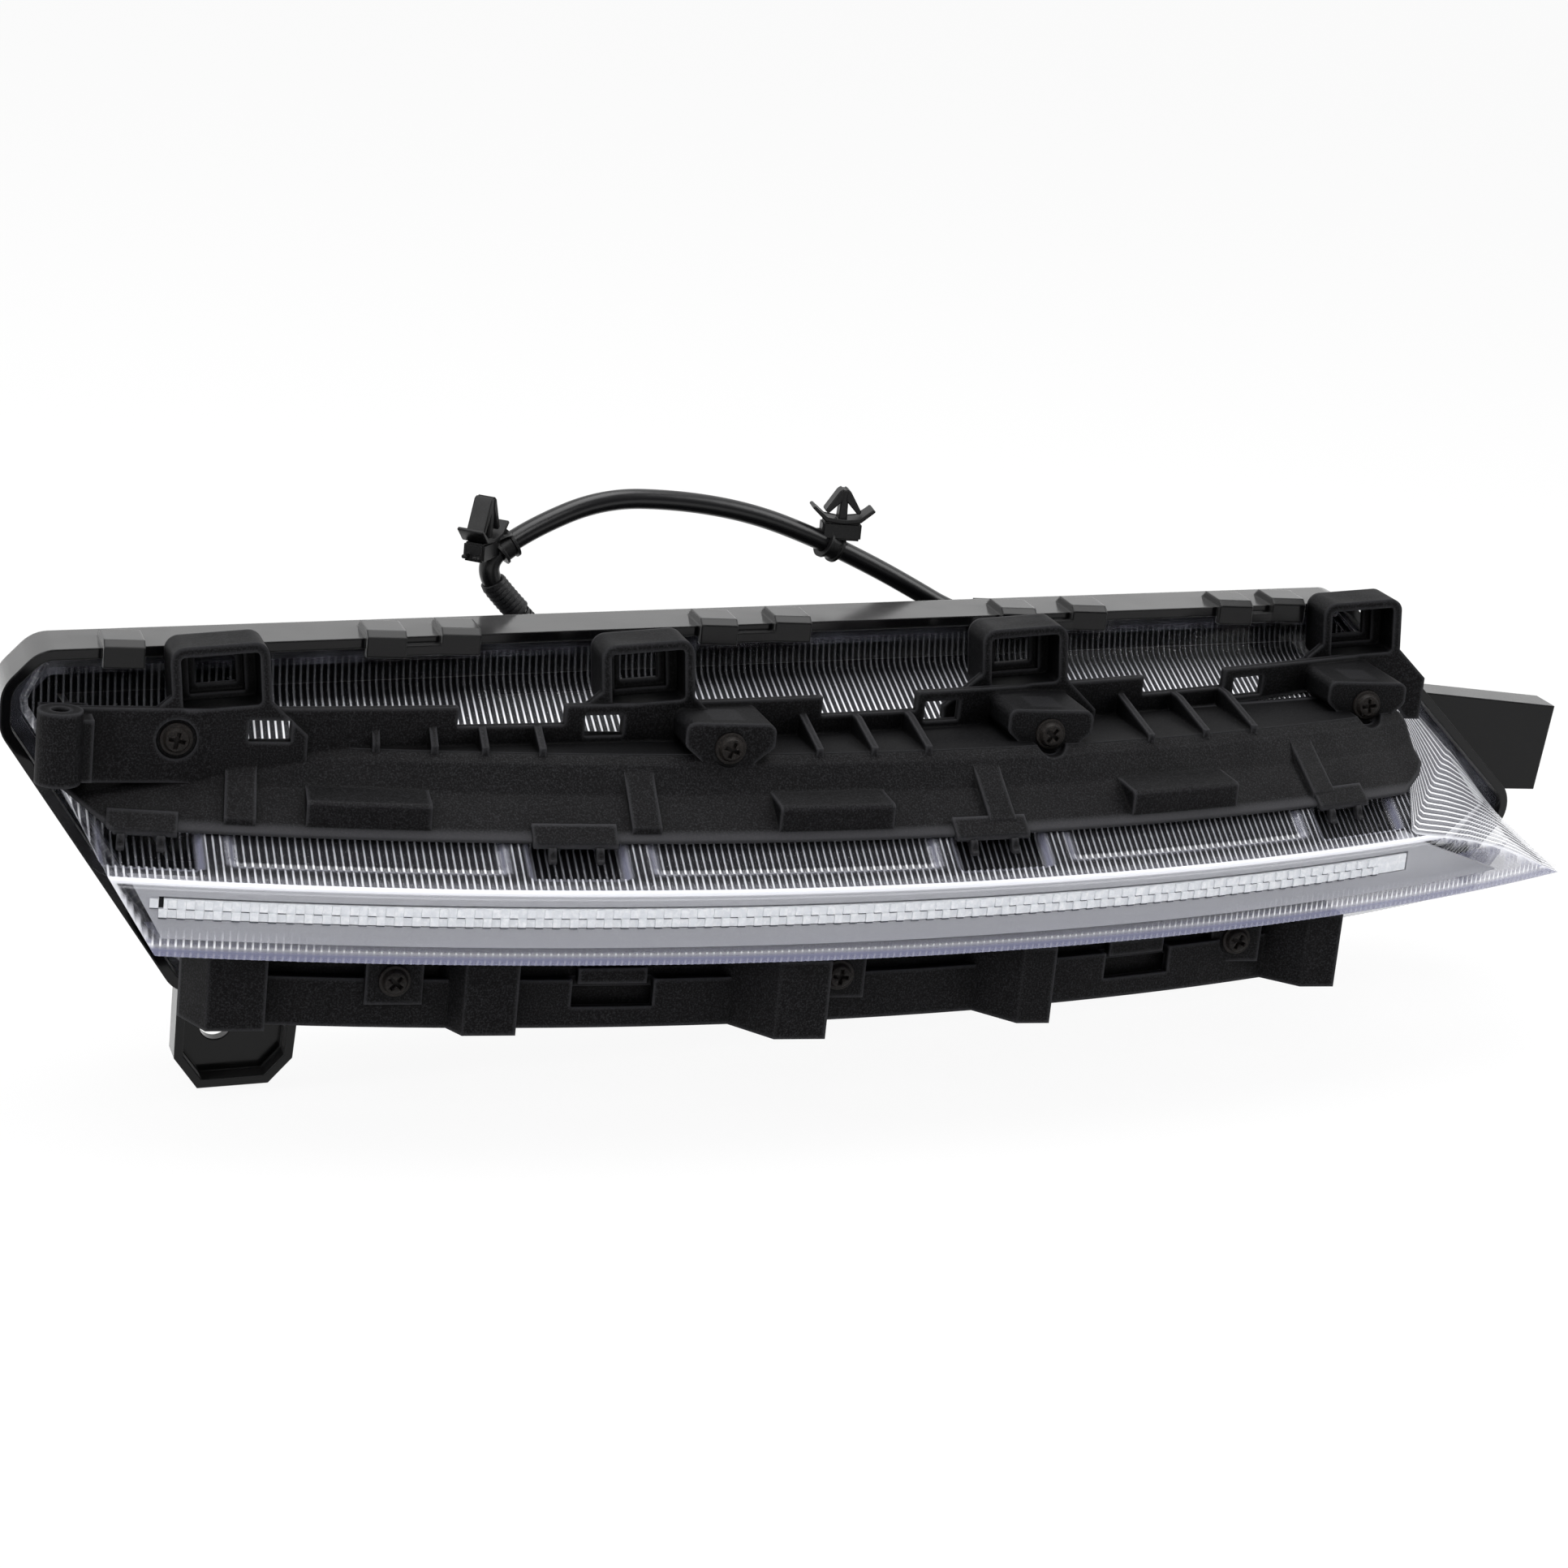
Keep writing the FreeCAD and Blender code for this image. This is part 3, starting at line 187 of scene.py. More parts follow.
route = [Vector((x, swept(x, CABLE_DEPTH), z)) * MM for x, z in ROUTE]
sleeve_line = bpy.data.curves.new("harness_cable", "CURVE")
sleeve_line.dimensions = "3D"
sleeve_line.resolution_u = 24
sleeve_line.use_fill_caps = True
spline = sleeve_line.splines.new("NURBS")
spline.points.add(len(route) - 1)
for point, place in zip(spline.points, route):
    point.co = (*place, 1)
spline.order_u = 3
spline.use_endpoint_u = True
bare_line = bpy.data.objects.new("bare_line", sleeve_line)
route_line = [vertex.co.copy() for vertex in bpy.data.meshes.new_from_object(bare_line).vertices]
bpy.data.objects.remove(bare_line)
sleeve_line.bevel_depth = CABLE_WIDTH / 2 * MM
sleeve_line.bevel_resolution = 6
# Extruded PVC: deep black with a soft shine and fine creases.
pvc, tree, shader = new_finish("extruded_pvc", {
    "Base Color": linear("#0b0b0d"), "Roughness": 0.3, "Specular IOR Level": 0.4})
where = add_node(tree, "ShaderNodeTexCoord")
creases = add_node(tree, "ShaderNodeTexNoise", {"Scale": 1 / (2.2 * MM), "Detail": 3.0},
                   {"Vector": where.outputs["Object"]})
bump = add_node(tree, "ShaderNodeBump", {"Strength": 0.2, "Distance": 0.2 * MM},
                {"Height": creases.outputs["Fac"]})
tree.links.new(bump.outputs[0], shader.inputs["Normal"])
sleeve_line.materials.append(pvc)
cable = piece("harness_cable", sleeve_line, "sleeve_black", "harness_sleeve")


CLOUD_SIZE, ROUGH_SPREAD, GRAIN_RELIEF = 14, 0.06, 0.15


def grained(name, colour, fleck, roughness, grain, relief, edge, gloss):
    """A plain finish: a colour with paler flecks, a grain in mm with its relief, and edges softened in mm."""
    material, tree, shader = new_finish(name, {"Specular IOR Level": gloss})
    where = add_node(tree, "ShaderNodeTexCoord")
    flecks = add_node(tree, "ShaderNodeTexNoise", {"Scale": 1 / (grain * MM), "Detail": 2.0, "Roughness": 0.7},
                      {"Vector": where.outputs["Object"]})
    tint = add_node(tree, "ShaderNodeValToRGB", None, {"Fac": flecks.outputs["Fac"]})
    tint.color_ramp.elements[0].position = 0.45
    tint.color_ramp.elements[0].color = linear(colour)
    tint.color_ramp.elements[1].position = 0.75
    tint.color_ramp.elements[1].color = linear(fleck)
    cloud = add_node(tree, "ShaderNodeTexNoise", {"Scale": 1 / (CLOUD_SIZE * MM), "Detail": 3.0},
                     {"Vector": where.outputs["Object"]})
    rough = add_node(tree, "ShaderNodeMapRange", {
        "From Min": 0.3, "From Max": 0.7, "To Min": roughness - ROUGH_SPREAD,
        "To Max": roughness + ROUGH_SPREAD}, {"Value": cloud.outputs["Fac"]})
    soft = add_node(tree, "ShaderNodeBevel", {"samples": 6, "Radius": edge * MM})
    bump = add_node(tree, "ShaderNodeBump", {"Strength": relief, "Distance": GRAIN_RELIEF * MM},
                    {"Height": flecks.outputs["Fac"], "Normal": soft.outputs[0]})
    tree.links.new(tint.outputs[0], shader.inputs["Base Color"])
    tree.links.new(rough.outputs[0], shader.inputs["Roughness"])
    tree.links.new(bump.outputs[0], shader.inputs["Normal"])
    return material


def dress(material, *names):
    """Gives nodes of the frame their finish."""
    for name in names:
        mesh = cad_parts[name].data
        mesh.materials.clear()
        mesh.materials.append(material)


def along(distance):
    """The place on the cable at a distance in mm from the grommet, and its direction there."""
    left = distance * MM
    for start, end in zip(route_line, route_line[1:]):
        run = (end - start).length
        if left <= run:
            break
        left -= run
    return start + (end - start) * (left / run), (end - start).normalized()


def distance_to(x, z):
    """How far along the cable, in mm, the point nearest to a place on its plane lies."""
    goal = Vector((x, swept(x, CABLE_DEPTH), z)) * MM
    nearest = min(range(len(route_line)), key=lambda i: (route_line[i] - goal).length)
    return sum((end - start).length for start, end in zip(route_line[:nearest], route_line[1:])) / MM


CUFF_SIDES = 28


def cuff(form, outline):
    """Sweeps a closed outline of (distance along the cable, radius) round the cable."""
    rings = []
    for distance, radius in outline:
        here, ahead = along(distance)
        side = Vector((0, 1, 0)).cross(ahead).normalized()
        over = ahead.cross(side)
        angles = [math.tau * i / CUFF_SIDES for i in range(CUFF_SIDES)]
        ways = [side * math.cos(angle) + over * math.sin(angle) for angle in angles]
        rings.append([form.verts.new(here + way * radius * MM) for way in ways])
    for ring, after in zip(rings, rings[1:] + rings[:1]):
        for i in range(CUFF_SIDES):
            form.faces.new((ring[i - 1], ring[i], after[i], after[i - 1]))


def extruded(form, outline, depth, place, soft=0.3):
    """Adds a prism: an outline of (x, z) corners in mm, as deep as said, set in place by a matrix."""
    front = [form.verts.new(place @ (Vector((x, -depth / 2, z)) * MM)) for x, z in outline]
    rear = [form.verts.new(place @ (Vector((x, depth / 2, z)) * MM)) for x, z in outline]
    faces = [form.faces.new(front), form.faces.new(rear[::-1])]
    for i in range(len(outline)):
        faces.append(form.faces.new((front[i - 1], rear[i - 1], rear[i], front[i])))
    if soft:
        edges = list({edge for face in faces for edge in face.edges})
        bmesh.ops.bevel(form, geom=edges, offset=soft * MM, segments=2, affect="EDGES", clamp_overlap=True)


def shaped(name, form, material=None, sharp=40):
    """Turns a form into a mesh with its finish, smooth but for the edges sharper than an angle."""
    bmesh.ops.recalc_face_normals(form, faces=form.faces)
    mesh = bpy.data.meshes.new(name)
    form.to_mesh(mesh)
    form.free()
    mesh.shade_smooth()
    mesh.set_sharp_from_angle(angle=math.radians(sharp))
    if material:
        mesh.materials.append(material)
    return mesh


# Moulded nylon: black, even, a little shiny on its edges.
nylon = grained("moulded_nylon", "#0c0c0d", "#19191a", 0.42, 0.5, 0.15, 0.3, 0.3)
# Cloth tape: dull black, with a weave that catches a little light, drawn as a grain and a little coarser than
# it is so that it shows.
cloth_tape = grained("cloth_tape", "#0e0e10", "#2a2a2d", 0.5, 0.35, 0.4, 0.2, 0.35)
TAPE_AT, TAPE_TURNS, TAPE_PITCH, TAPE_RADIUS = (92.3, 7.1), 8, 1.6, 3.75
RIBS, RIB_PITCH, RIB_RADIUS = 4, 1.5, 3.25
INSIDE = CABLE_WIDTH / 2 + 0.05
tape_start = distance_to(*TAPE_AT) - TAPE_TURNS * TAPE_PITCH / 2
wound = [(tape_start, INSIDE)]
for i in range(TAPE_TURNS):
    edge = tape_start + i * TAPE_PITCH
    wound += [(edge, TAPE_RADIUS - 0.2), (edge + 0.2, TAPE_RADIUS + 0.15),
              (edge + TAPE_PITCH - 0.1, TAPE_RADIUS - 0.1)]
wound.append((tape_start + TAPE_TURNS * TAPE_PITCH, INSIDE))
form = bmesh.new()
cuff(form, wound)
for i in range(RIBS):
    foot = tape_start - 1 - i * RIB_PITCH
    cuff(form, [(foot, INSIDE), (foot, RIB_RADIUS), (foot - 0.8, RIB_RADIUS), (foot - 0.8, INSIDE)])
tape_mesh = shaped("harness_tape_turns", form, cloth_tape)
tape = piece("harness_tape_turns", tape_mesh, "sleeve_black", "harness_tape")

# Each tie: its name, the foot of its clip, the clip's turn in degrees, and its place on the cable.
TIES = [("left", (83.2, -4, 19.6), 54, (91, 21.9)), ("right", (200.3, -1, 22.2), -8, (197.9, 20.0))]
TIP_Z = 38
for side, (x, ahead, z), turn, (on_x, on_z) in TIES:
    form = bmesh.new()
    clip = Matrix.Translation(Vector((x, swept(x, CABLE_DEPTH) + ahead, z)) * MM) @ Matrix.Rotation(
        math.radians(turn), 4, "Z")
    tip = TIP_Z - z
    # The block of the clip, its two studs, its spring wings, its stem, its two barbs and the arm to the cable.
    extruded(form, [(-6, 0), (6, 0), (6, 5.5), (-6, 5.5)], 6.5, clip, 0.6)
    for shift in (-1.7, 1.7):
        extruded(form, [(-8.6, 1.2), (-5.8, 1), (-5.8, 2.4), (-8.6, 2.2)], 1.5,
                 clip @ Matrix.Translation((0, shift * MM, 0)), 0.2)
    extruded(form, [(-9.7, 9.6), (-8.9, 10.3), (-5, 6.9), (0, 6.2), (5, 6.9), (8.9, 10.3), (9.7, 9.6),
                    (5.4, 5.8), (0, 5.2), (-5.4, 5.8)], 8, clip, 0.2)
    extruded(form, [(-1.4, 5), (1.4, 5), (1.0, tip - 0.4), (-1.0, tip - 0.4)], 5.2, clip, 0.3)
    for way in (-1, 1):
        fin = [(0.5, tip), (1.7, tip - 0.7), (5.6, 8.8), (4.5, 8.0), (0.4, tip - 3.6)]
        extruded(form, [(way * fx, fz) for fx, fz in fin][::way], 5.6, clip, 0.25)
    extruded(form, [(x, z + 0.6), (x, z + 4), (on_x + 1.5, on_z + 4.8), (on_x - 2, on_z + 3.4)], 3.4,
             Matrix.Translation((0, (swept(x, CABLE_DEPTH) + ahead / 2) * MM, 0)), 0.3)
    at = distance_to(on_x, on_z)
    cuff(form, [(at - 2.6, INSIDE), (at - 2.6, 4.7), (at - 1.7, 4.7), (at - 1.6, 4.1), (at + 1.6, 4.1),
                (at + 1.7, 4.7), (at + 2.6, 4.7), (at + 2.6, INSIDE)])
    piece("arrowhead_tie_" + side, shaped("arrowhead_tie_" + side, form, nylon), "tie_black",
                            "harness_tie_" + side)
# Grommet rubber: matt black with a faint dusty grain.
rubber = grained("grommet_rubber", "#101011", "#191919", 0.6, 0.6, 0.2, 0.4, 0.3)
dress(rubber, "harness_grommet")
dress(nylon, "harness_connector")


# Rear housing.
# The deep black tray that everything is built into, moulded in polypropylene in one piece with its
# snap lugs, fixing ear and locating block; a vent cap is pressed into its back and a seal lies in its rim.

# Satin polypropylene: near black, but its top mirrors the white room at a low angle.
polypropylene = grained("satin_polypropylene", "#050506", "#09090a", 0.15, 0.9, 0.02, 0.8, 0.24)
satin = polypropylene.node_tree.nodes["Principled BSDF"]
satin.inputs["Sheen Weight"].default_value = 0.35
satin.inputs["Sheen Roughness"].default_value = 0.3
dress(polypropylene, "rear_housing", "vent_cap")
# Seal foam: closed cells, quite matt.
seal_foam = grained("seal_foam", "#0c0c0d", "#161616", 0.85, 0.5, 0.4, 0.3, 0.2)
dress(seal_foam, "lens_seal")


# Optics.
# A curved ABS carrier with a row of small lamps on a board, a heat sink behind it and a shade above;
# a grey lacquered bezel in front frames a white light guide, whose face is moulded in two rows of tiles.

# Moulded ABS: dull deep black, so that nothing inside the lamp catches the eye.
abs_black = grained("moulded_abs", "#040405", "#08080a", 0.55, 0.8, 0.08, 0.4, 0.06)
dress(abs_black, "optic_carrier", "inner_cover")
# Grey lacquer: even and satin, with the faintest cloud.
lacquer = grained("grey_lacquer", "#a3a4aa", "#adaeb4", 0.4, 0.4, 0.04, 0.4, 0.4)
dress(lacquer, "bezel")
# Solder resist: very dark green with a low shine.
solder_resist = grained("solder_resist", "#08120c", "#0c1911", 0.4, 0.8, 0.05, 0.2, 0.5)
dress(solder_resist, "led_board", "driver_board")
# Lamp resin: cream, smooth and even.
lamp_resin = grained("lamp_resin", "#efe6b8", "#f6efca", 0.3, 0.5, 0.05, 0.2, 0.5)
dress(lamp_resin, "leds")
# Extruded aluminium: bright grey with fine drawn lines.
aluminium, tree, shader = new_finish("extruded_aluminium", {"Metallic": 1.0})
where = add_node(tree, "ShaderNodeTexCoord")
drawn = add_node(tree, "ShaderNodeMapping", {"Scale": (0.02, 0.02, 1.0)}, {"Vector": where.outputs["Object"]})
lines = add_node(tree, "ShaderNodeTexNoise", {"Scale": 1 / (0.3 * MM), "Detail": 2.0},
                 {"Vector": drawn.outputs[0]})
tint = add_node(tree, "ShaderNodeValToRGB", None, {"Fac": lines.outputs["Fac"]})
tint.color_ramp.elements[0].color = linear("#a9abae")
tint.color_ramp.elements[1].color = linear("#c6c8ca")
rough = add_node(tree, "ShaderNodeMapRange", {"To Min": 0.35, "To Max": 0.5}, {"Value": lines.outputs["Fac"]})
tree.links.new(tint.outputs[0], shader.inputs["Base Color"])
tree.links.new(rough.outputs[0], shader.inputs["Roughness"])
dress(aluminium, "heat_sink")

BOW_X, BOW_Y = 90, 700
GUIDE_FROM, GUIDE_TO, GUIDE_STEPS = -8.3, 22.7, 160
GUIDE_SECTION = [(725.8, -59.9), (725.8, -54.7), (712, -54.7), (712, -59.9)]
TILE_PITCH, TILE_RADIUS, TILE_FROM = 4.8, 725.6, -8.5


def on_bow(radius, turn, z):
    """A place at a radius in mm and a turn in degrees round the axis of the bow."""
    angle = math.radians(turn)
    return Vector((BOW_X + radius * math.sin(angle), BOW_Y - radius * math.cos(angle), z)) * MM


form = bmesh.new()
bars = []
for i in range(GUIDE_STEPS + 1):
    turn = GUIDE_FROM + (GUIDE_TO - GUIDE_FROM) * i / GUIDE_STEPS
    bars.append([form.verts.new(on_bow(radius, turn, z)) for radius, z in GUIDE_SECTION])
for bar, after in zip(bars, bars[1:]):
    for i in range(len(GUIDE_SECTION)):
        form.faces.new((bar[i - 1], bar[i], after[i], after[i - 1]))
form.faces.new(bars[0])
form.faces.new(bars[-1][::-1])
# Moulded acrylic: milky white, with a soft gloss and slightly greyer depths.
acrylic = grained("milky_acrylic", "#dcdfe4", "#f1f2f5", 0.25, 1.6, 0.1, 0.2, 0.5)
# The undercut below each tile is in shade; a thin dark grey block laid there paints that shade as a short grey
# dash.
painted_undercut_shade = grained("acrylic_painted_shade", "#4c4f56", "#5c5f66", 0.5, 1.6, 0.1, 0.2, 0.2)
guide_bar = shaped("light_guide_bar", form, acrylic)
guide_object = bpy.data.objects.new("light_guide_bar", guide_bar)
scene.collection.objects.link(guide_object)
tiles = bpy.data.node_groups.new("guide_tiles", "GeometryNodeTree")
tiles.interface.new_socket("Geometry", in_out="INPUT", socket_type="NodeSocketGeometry")
TILE_SIZES = {"Count": ("NodeSocketInt", 80), "Radius": ("NodeSocketFloat", TILE_RADIUS * MM),
              "First Turn": ("NodeSocketFloat", math.radians(TILE_FROM)),
              "Turn Step": ("NodeSocketFloat", TILE_PITCH / TILE_RADIUS),
              "Tile": ("NodeSocketVector", Vector((2.3, 1.5, 2.35)) * MM),
              "Dash": ("NodeSocketVector", Vector((2.2, 0.95, 0.55)) * MM)}
tile_inputs = {name: tiles.interface.new_socket(name, in_out="INPUT", socket_type=kind)
               for name, (kind, value) in TILE_SIZES.items()}
tiles.interface.new_socket("Geometry", in_out="OUTPUT", socket_type="NodeSocketGeometry")
source = add_node(tiles, "NodeGroupInput")
rows = [source.outputs["Geometry"]]
# Each row: its height in mm, its shift in tiles, the block that it repeats and its finish.
# The two Dash rows are painted shade under the tiles.
for z, shift, size, finish in ((-56.0, 0.0, "Tile", acrylic), (-58.6, 0.5, "Tile", acrylic),
                               (-57.25, 0.0, "Dash", painted_undercut_shade), (-60.0, 0.5, "Dash", painted_undercut_shade)):
    line = add_node(tiles, "GeometryNodeMeshLine", {"Offset": (0, 0, 0)}, {"Count": source.outputs["Count"]})
    index = add_node(tiles, "GeometryNodeInputIndex")
    place = add_node(tiles, "ShaderNodeMath", {"operation": "ADD", 1: shift}, {0: index.outputs[0]})
    turn = add_node(tiles, "ShaderNodeMath", {"operation": "MULTIPLY_ADD"}, {
        0: place.outputs[0], 1: source.outputs["Turn Step"], 2: source.outputs["First Turn"]})
    sine = add_node(tiles, "ShaderNodeMath", {"operation": "SINE"}, {0: turn.outputs[0]})
    cosine = add_node(tiles, "ShaderNodeMath", {"operation": "COSINE"}, {0: turn.outputs[0]})
    x = add_node(tiles, "ShaderNodeMath", {"operation": "MULTIPLY_ADD", 2: BOW_X * MM}, {
        0: sine.outputs[0], 1: source.outputs["Radius"]})
    inward = add_node(tiles, "ShaderNodeMath", {"operation": "MULTIPLY"}, {
        0: cosine.outputs[0], 1: source.outputs["Radius"]})
    y = add_node(tiles, "ShaderNodeMath", {"operation": "SUBTRACT", 0: BOW_Y * MM}, {1: inward.outputs[0]})
    spot = add_node(tiles, "ShaderNodeCombineXYZ", {"Z": z * MM}, {"X": x.outputs[0], "Y": y.outputs[0]})
    moved = add_node(tiles, "GeometryNodeSetPosition", None, {
        "Geometry": line.outputs[0], "Position": spot.outputs[0]})
    brick = add_node(tiles, "GeometryNodeMeshCube", None, {"Size": source.outputs[size]})
    facing = add_node(tiles, "ShaderNodeCombineXYZ", None, {"Z": turn.outputs[0]})
    laid = add_node(tiles, "GeometryNodeInstanceOnPoints", None, {
        "Points": moved.outputs[0], "Instance": brick.outputs["Mesh"], "Rotation": facing.outputs[0]})
    solid = add_node(tiles, "GeometryNodeRealizeInstances", None, {0: laid.outputs[0]})
    dressed = add_node(tiles, "GeometryNodeSetMaterial", {"Material": finish}, {"Geometry": solid.outputs[0]})
    rows.append(dressed.outputs[0])
joined = add_node(tiles, "GeometryNodeJoinGeometry")
for row in reversed(rows):
    tiles.links.new(row, joined.inputs[0])
add_node(tiles, "NodeGroupOutput", None, {0: joined.outputs[0]})


def baked(thing, tree, values):
    """Runs a node tree on an object with its values set, and returns the result as a plain mesh."""
    maker = thing.modifiers.new(tree.name, "NODES")
    maker.node_group = tree
    for socket, value in values:
        maker[socket.identifier] = value
    graph = bpy.context.evaluated_depsgraph_get()
    mesh = bpy.data.meshes.new_from_object(
        thing.evaluated_get(graph), preserve_all_data_layers=True, depsgraph=graph)
    bpy.data.objects.remove(thing)
    return mesh


tile_values = [(tile_inputs[name], value) for name, (kind, value) in TILE_SIZES.items()]
guide_mesh = baked(guide_object, tiles, tile_values)
piece("tiled_light_guide", guide_mesh, "guide_white", "light_guide")


# Lens.
# One clear polycarbonate moulding with fine upright flutes over its sloping top, dark windows and long
# scoops along its blade, and a smooth face; its flange is glued into the rim and towers take the screws.

# The flutes are a little wider than the real ones, so that each one shows.
FLUTE, FLUTE_COLUMNS, FLUTE_DEPTH, LENS_WALL, LENS_REAR = 2.0, 4, 0.35, 2.2, 26
LENS_LEFT, LENS_RIGHT = -51.5, 440
# The ends of the lens as (z, x) rows, where its front turns the corner and where it meets the flange.
LEFT_FRONT = [(1.2, -46), (-9.3, -51.5), (-33, -39), (-48, -30), (-69, -17), (-85, -2)]
RIGHT_FRONT = [(1.2, 374), (-9.3, 386), (-33, 379), (-46.8, 368), (-48.4, 379), (-51.7, 394), (-56.1, 408),
               (-60.9, 420), (-65.8, 430), (-69, 438), (-85, 424)]
LEFT_REAR = [(1.2, -46), (-9.3, -51.5), (-33, -41), (-48, -31), (-69, -17), (-85, -2)]
RIGHT_REAR = [(1.2, 374), (-9.3, 387), (-33, 411.5), (-48, 430), (-69, 449), (-85, 430)]
# The straight runs of its section, from the top edge down, and the rounds in mm between them.
TOP, SLOPE, BLADE, FACE, SILL, LENS_RUNS = 0, 1, 2, 3, 4, 7
LENS_ROUNDS = [3.0, 6.0, 0.8, 1.2, 2.0, 2.0]
TURN_SHARES, LOW_TURN_SHARES = (0, 0.5, 1), (0.5,)
RUN_SHARES = {SLOPE: (0.2, 0.4, 0.7),
              BLADE: (0.25, 0.42, 0.47, 0.52, 0.57, 0.61, 0.64, 0.67, 0.7, 0.74, 0.78, 0.82, 0.88, 0.95, 0.985),
              FACE: (0.03, 0.06, 0.09, 0.14, 0.25, 0.4, 0.58, 0.76, 0.84, 0.88, 0.92, 0.95)}
# What lens_look says of each turn.
TURN_LOOKS = [(0, 0.8, 0.08, 0.0, 0.3), (0, 1.0, 0.85, 0.1, 0.4), (0, 0.1, 0.0, 0.8, 0.0),
              (0, 0.2, 0.2, 0.6, 1.0), (0, 0.4, 0.3, 0.5, 1.0), (0, 0.4, 0.3, 0.3, 0.7)]
SIDE_COLUMNS, END_COLUMNS = 8, 124
WINDOWS = [(-33, -4), (81, 111), (207, 239), (333, 367)]
SCOOPS = [(0, 78), (115, 204), (243, 330)]
WINDOW_DEPTH, SCOOP_DEPTH = 3.2, 1.5
# Windows and scoops are sunk square to the slope of the blade.
SINK = Vector((15, -25)).normalized()
BEAD_PITCH, END_LINES, SEAM_FADE = 1.7, 18, 1.2
SIDE_FLUTE, SIDE_LOOK = 0.3, (0.6, 0.5, 0.25)


def bowed(x, radius):
    """The y, in mm, of a place on a circle round the axis of the bow."""
    return BOW_Y - math.sqrt(radius ** 2 - (x - BOW_X) ** 2)


# The corners of the section: each follows the swept plane at a depth or the bow at a radius, at a height.
LENS_CORNERS = [(swept, 23, 1.2), (swept, 21, -9.3), (bowed, 707, -33), (bowed, 732, -48), (bowed, 732, -69),
                (bowed, 701, -69.2), (bowed, 700, -85), (swept, 23, -85)]


def between(table, z):
    """Reads a table of (z, value) rows, sorted downward, at a height."""
    for (z0, v0), (z1, v1) in zip(table, table[1:]):
        if z >= z1:
            share = min(max((z0 - z) / (z0 - z1), 0), 1)
            return v0 + (v1 - v0) * share
    return table[-1][1]


def eased(value, start, end):
    """Rises smoothly from 0 at the start to 1 at the end."""
    share = min(max((value - start) / (end - start), 0), 1)
    return share * share * (3 - 2 * share)


def held(x, ranges, soft):
    """How far a place lies inside one of several ranges, from 0 to 1 over a soft edge."""
    return max(eased(min(x - start, end - x), 0, soft) for start, end in ranges)


# The rows of the skin, from its top edge down: shares of the straight runs and of the turns between them.
lens_rows = [("run", 0, 0)]
for k in range(LENS_RUNS):
    lens_rows += [("run", k, share) for share in RUN_SHARES.get(k, ())]
    if k < LENS_RUNS - 1:
        lens_rows += [("turn", k, share) for share in (TURN_SHARES if k < SILL else LOW_TURN_SHARES)]
lens_rows.append(("run", LENS_RUNS - 1, 1))


def lens_place(x, row):
    """The y and z of one row of the lens skin, before its windows and scoops are sunk."""
    kind, k, t = row
    corners = [(follow(x, measure), z) for follow, measure, z in LENS_CORNERS]

    def trimmed(here, toward, corner):
        """Where the straight run stops short of a corner, so that its round fits."""
        if not 0 < corner < LENS_RUNS:
            return here
        run = math.hypot(toward[0] - here[0], toward[1] - here[1])
        share = min(LENS_ROUNDS[corner - 1], run * 0.45) / run
        return here[0] + (toward[0] - here[0]) * share, here[1] + (toward[1] - here[1]) * share

    if kind == "run":
        start = trimmed(corners[k], corners[k + 1], k)
        end = trimmed(corners[k + 1], corners[k], k + 1)
        return start[0] + (end[0] - start[0]) * t, start[1] + (end[1] - start[1]) * t
    start = trimmed(corners[k + 1], corners[k], k + 1)
    end = trimmed(corners[k + 1], corners[k + 2], k + 1)
    turn = corners[k + 1]
    return tuple((1 - t) ** 2 * a + 2 * t * (1 - t) * b + t * t * c for a, b, c in zip(start, turn, end))


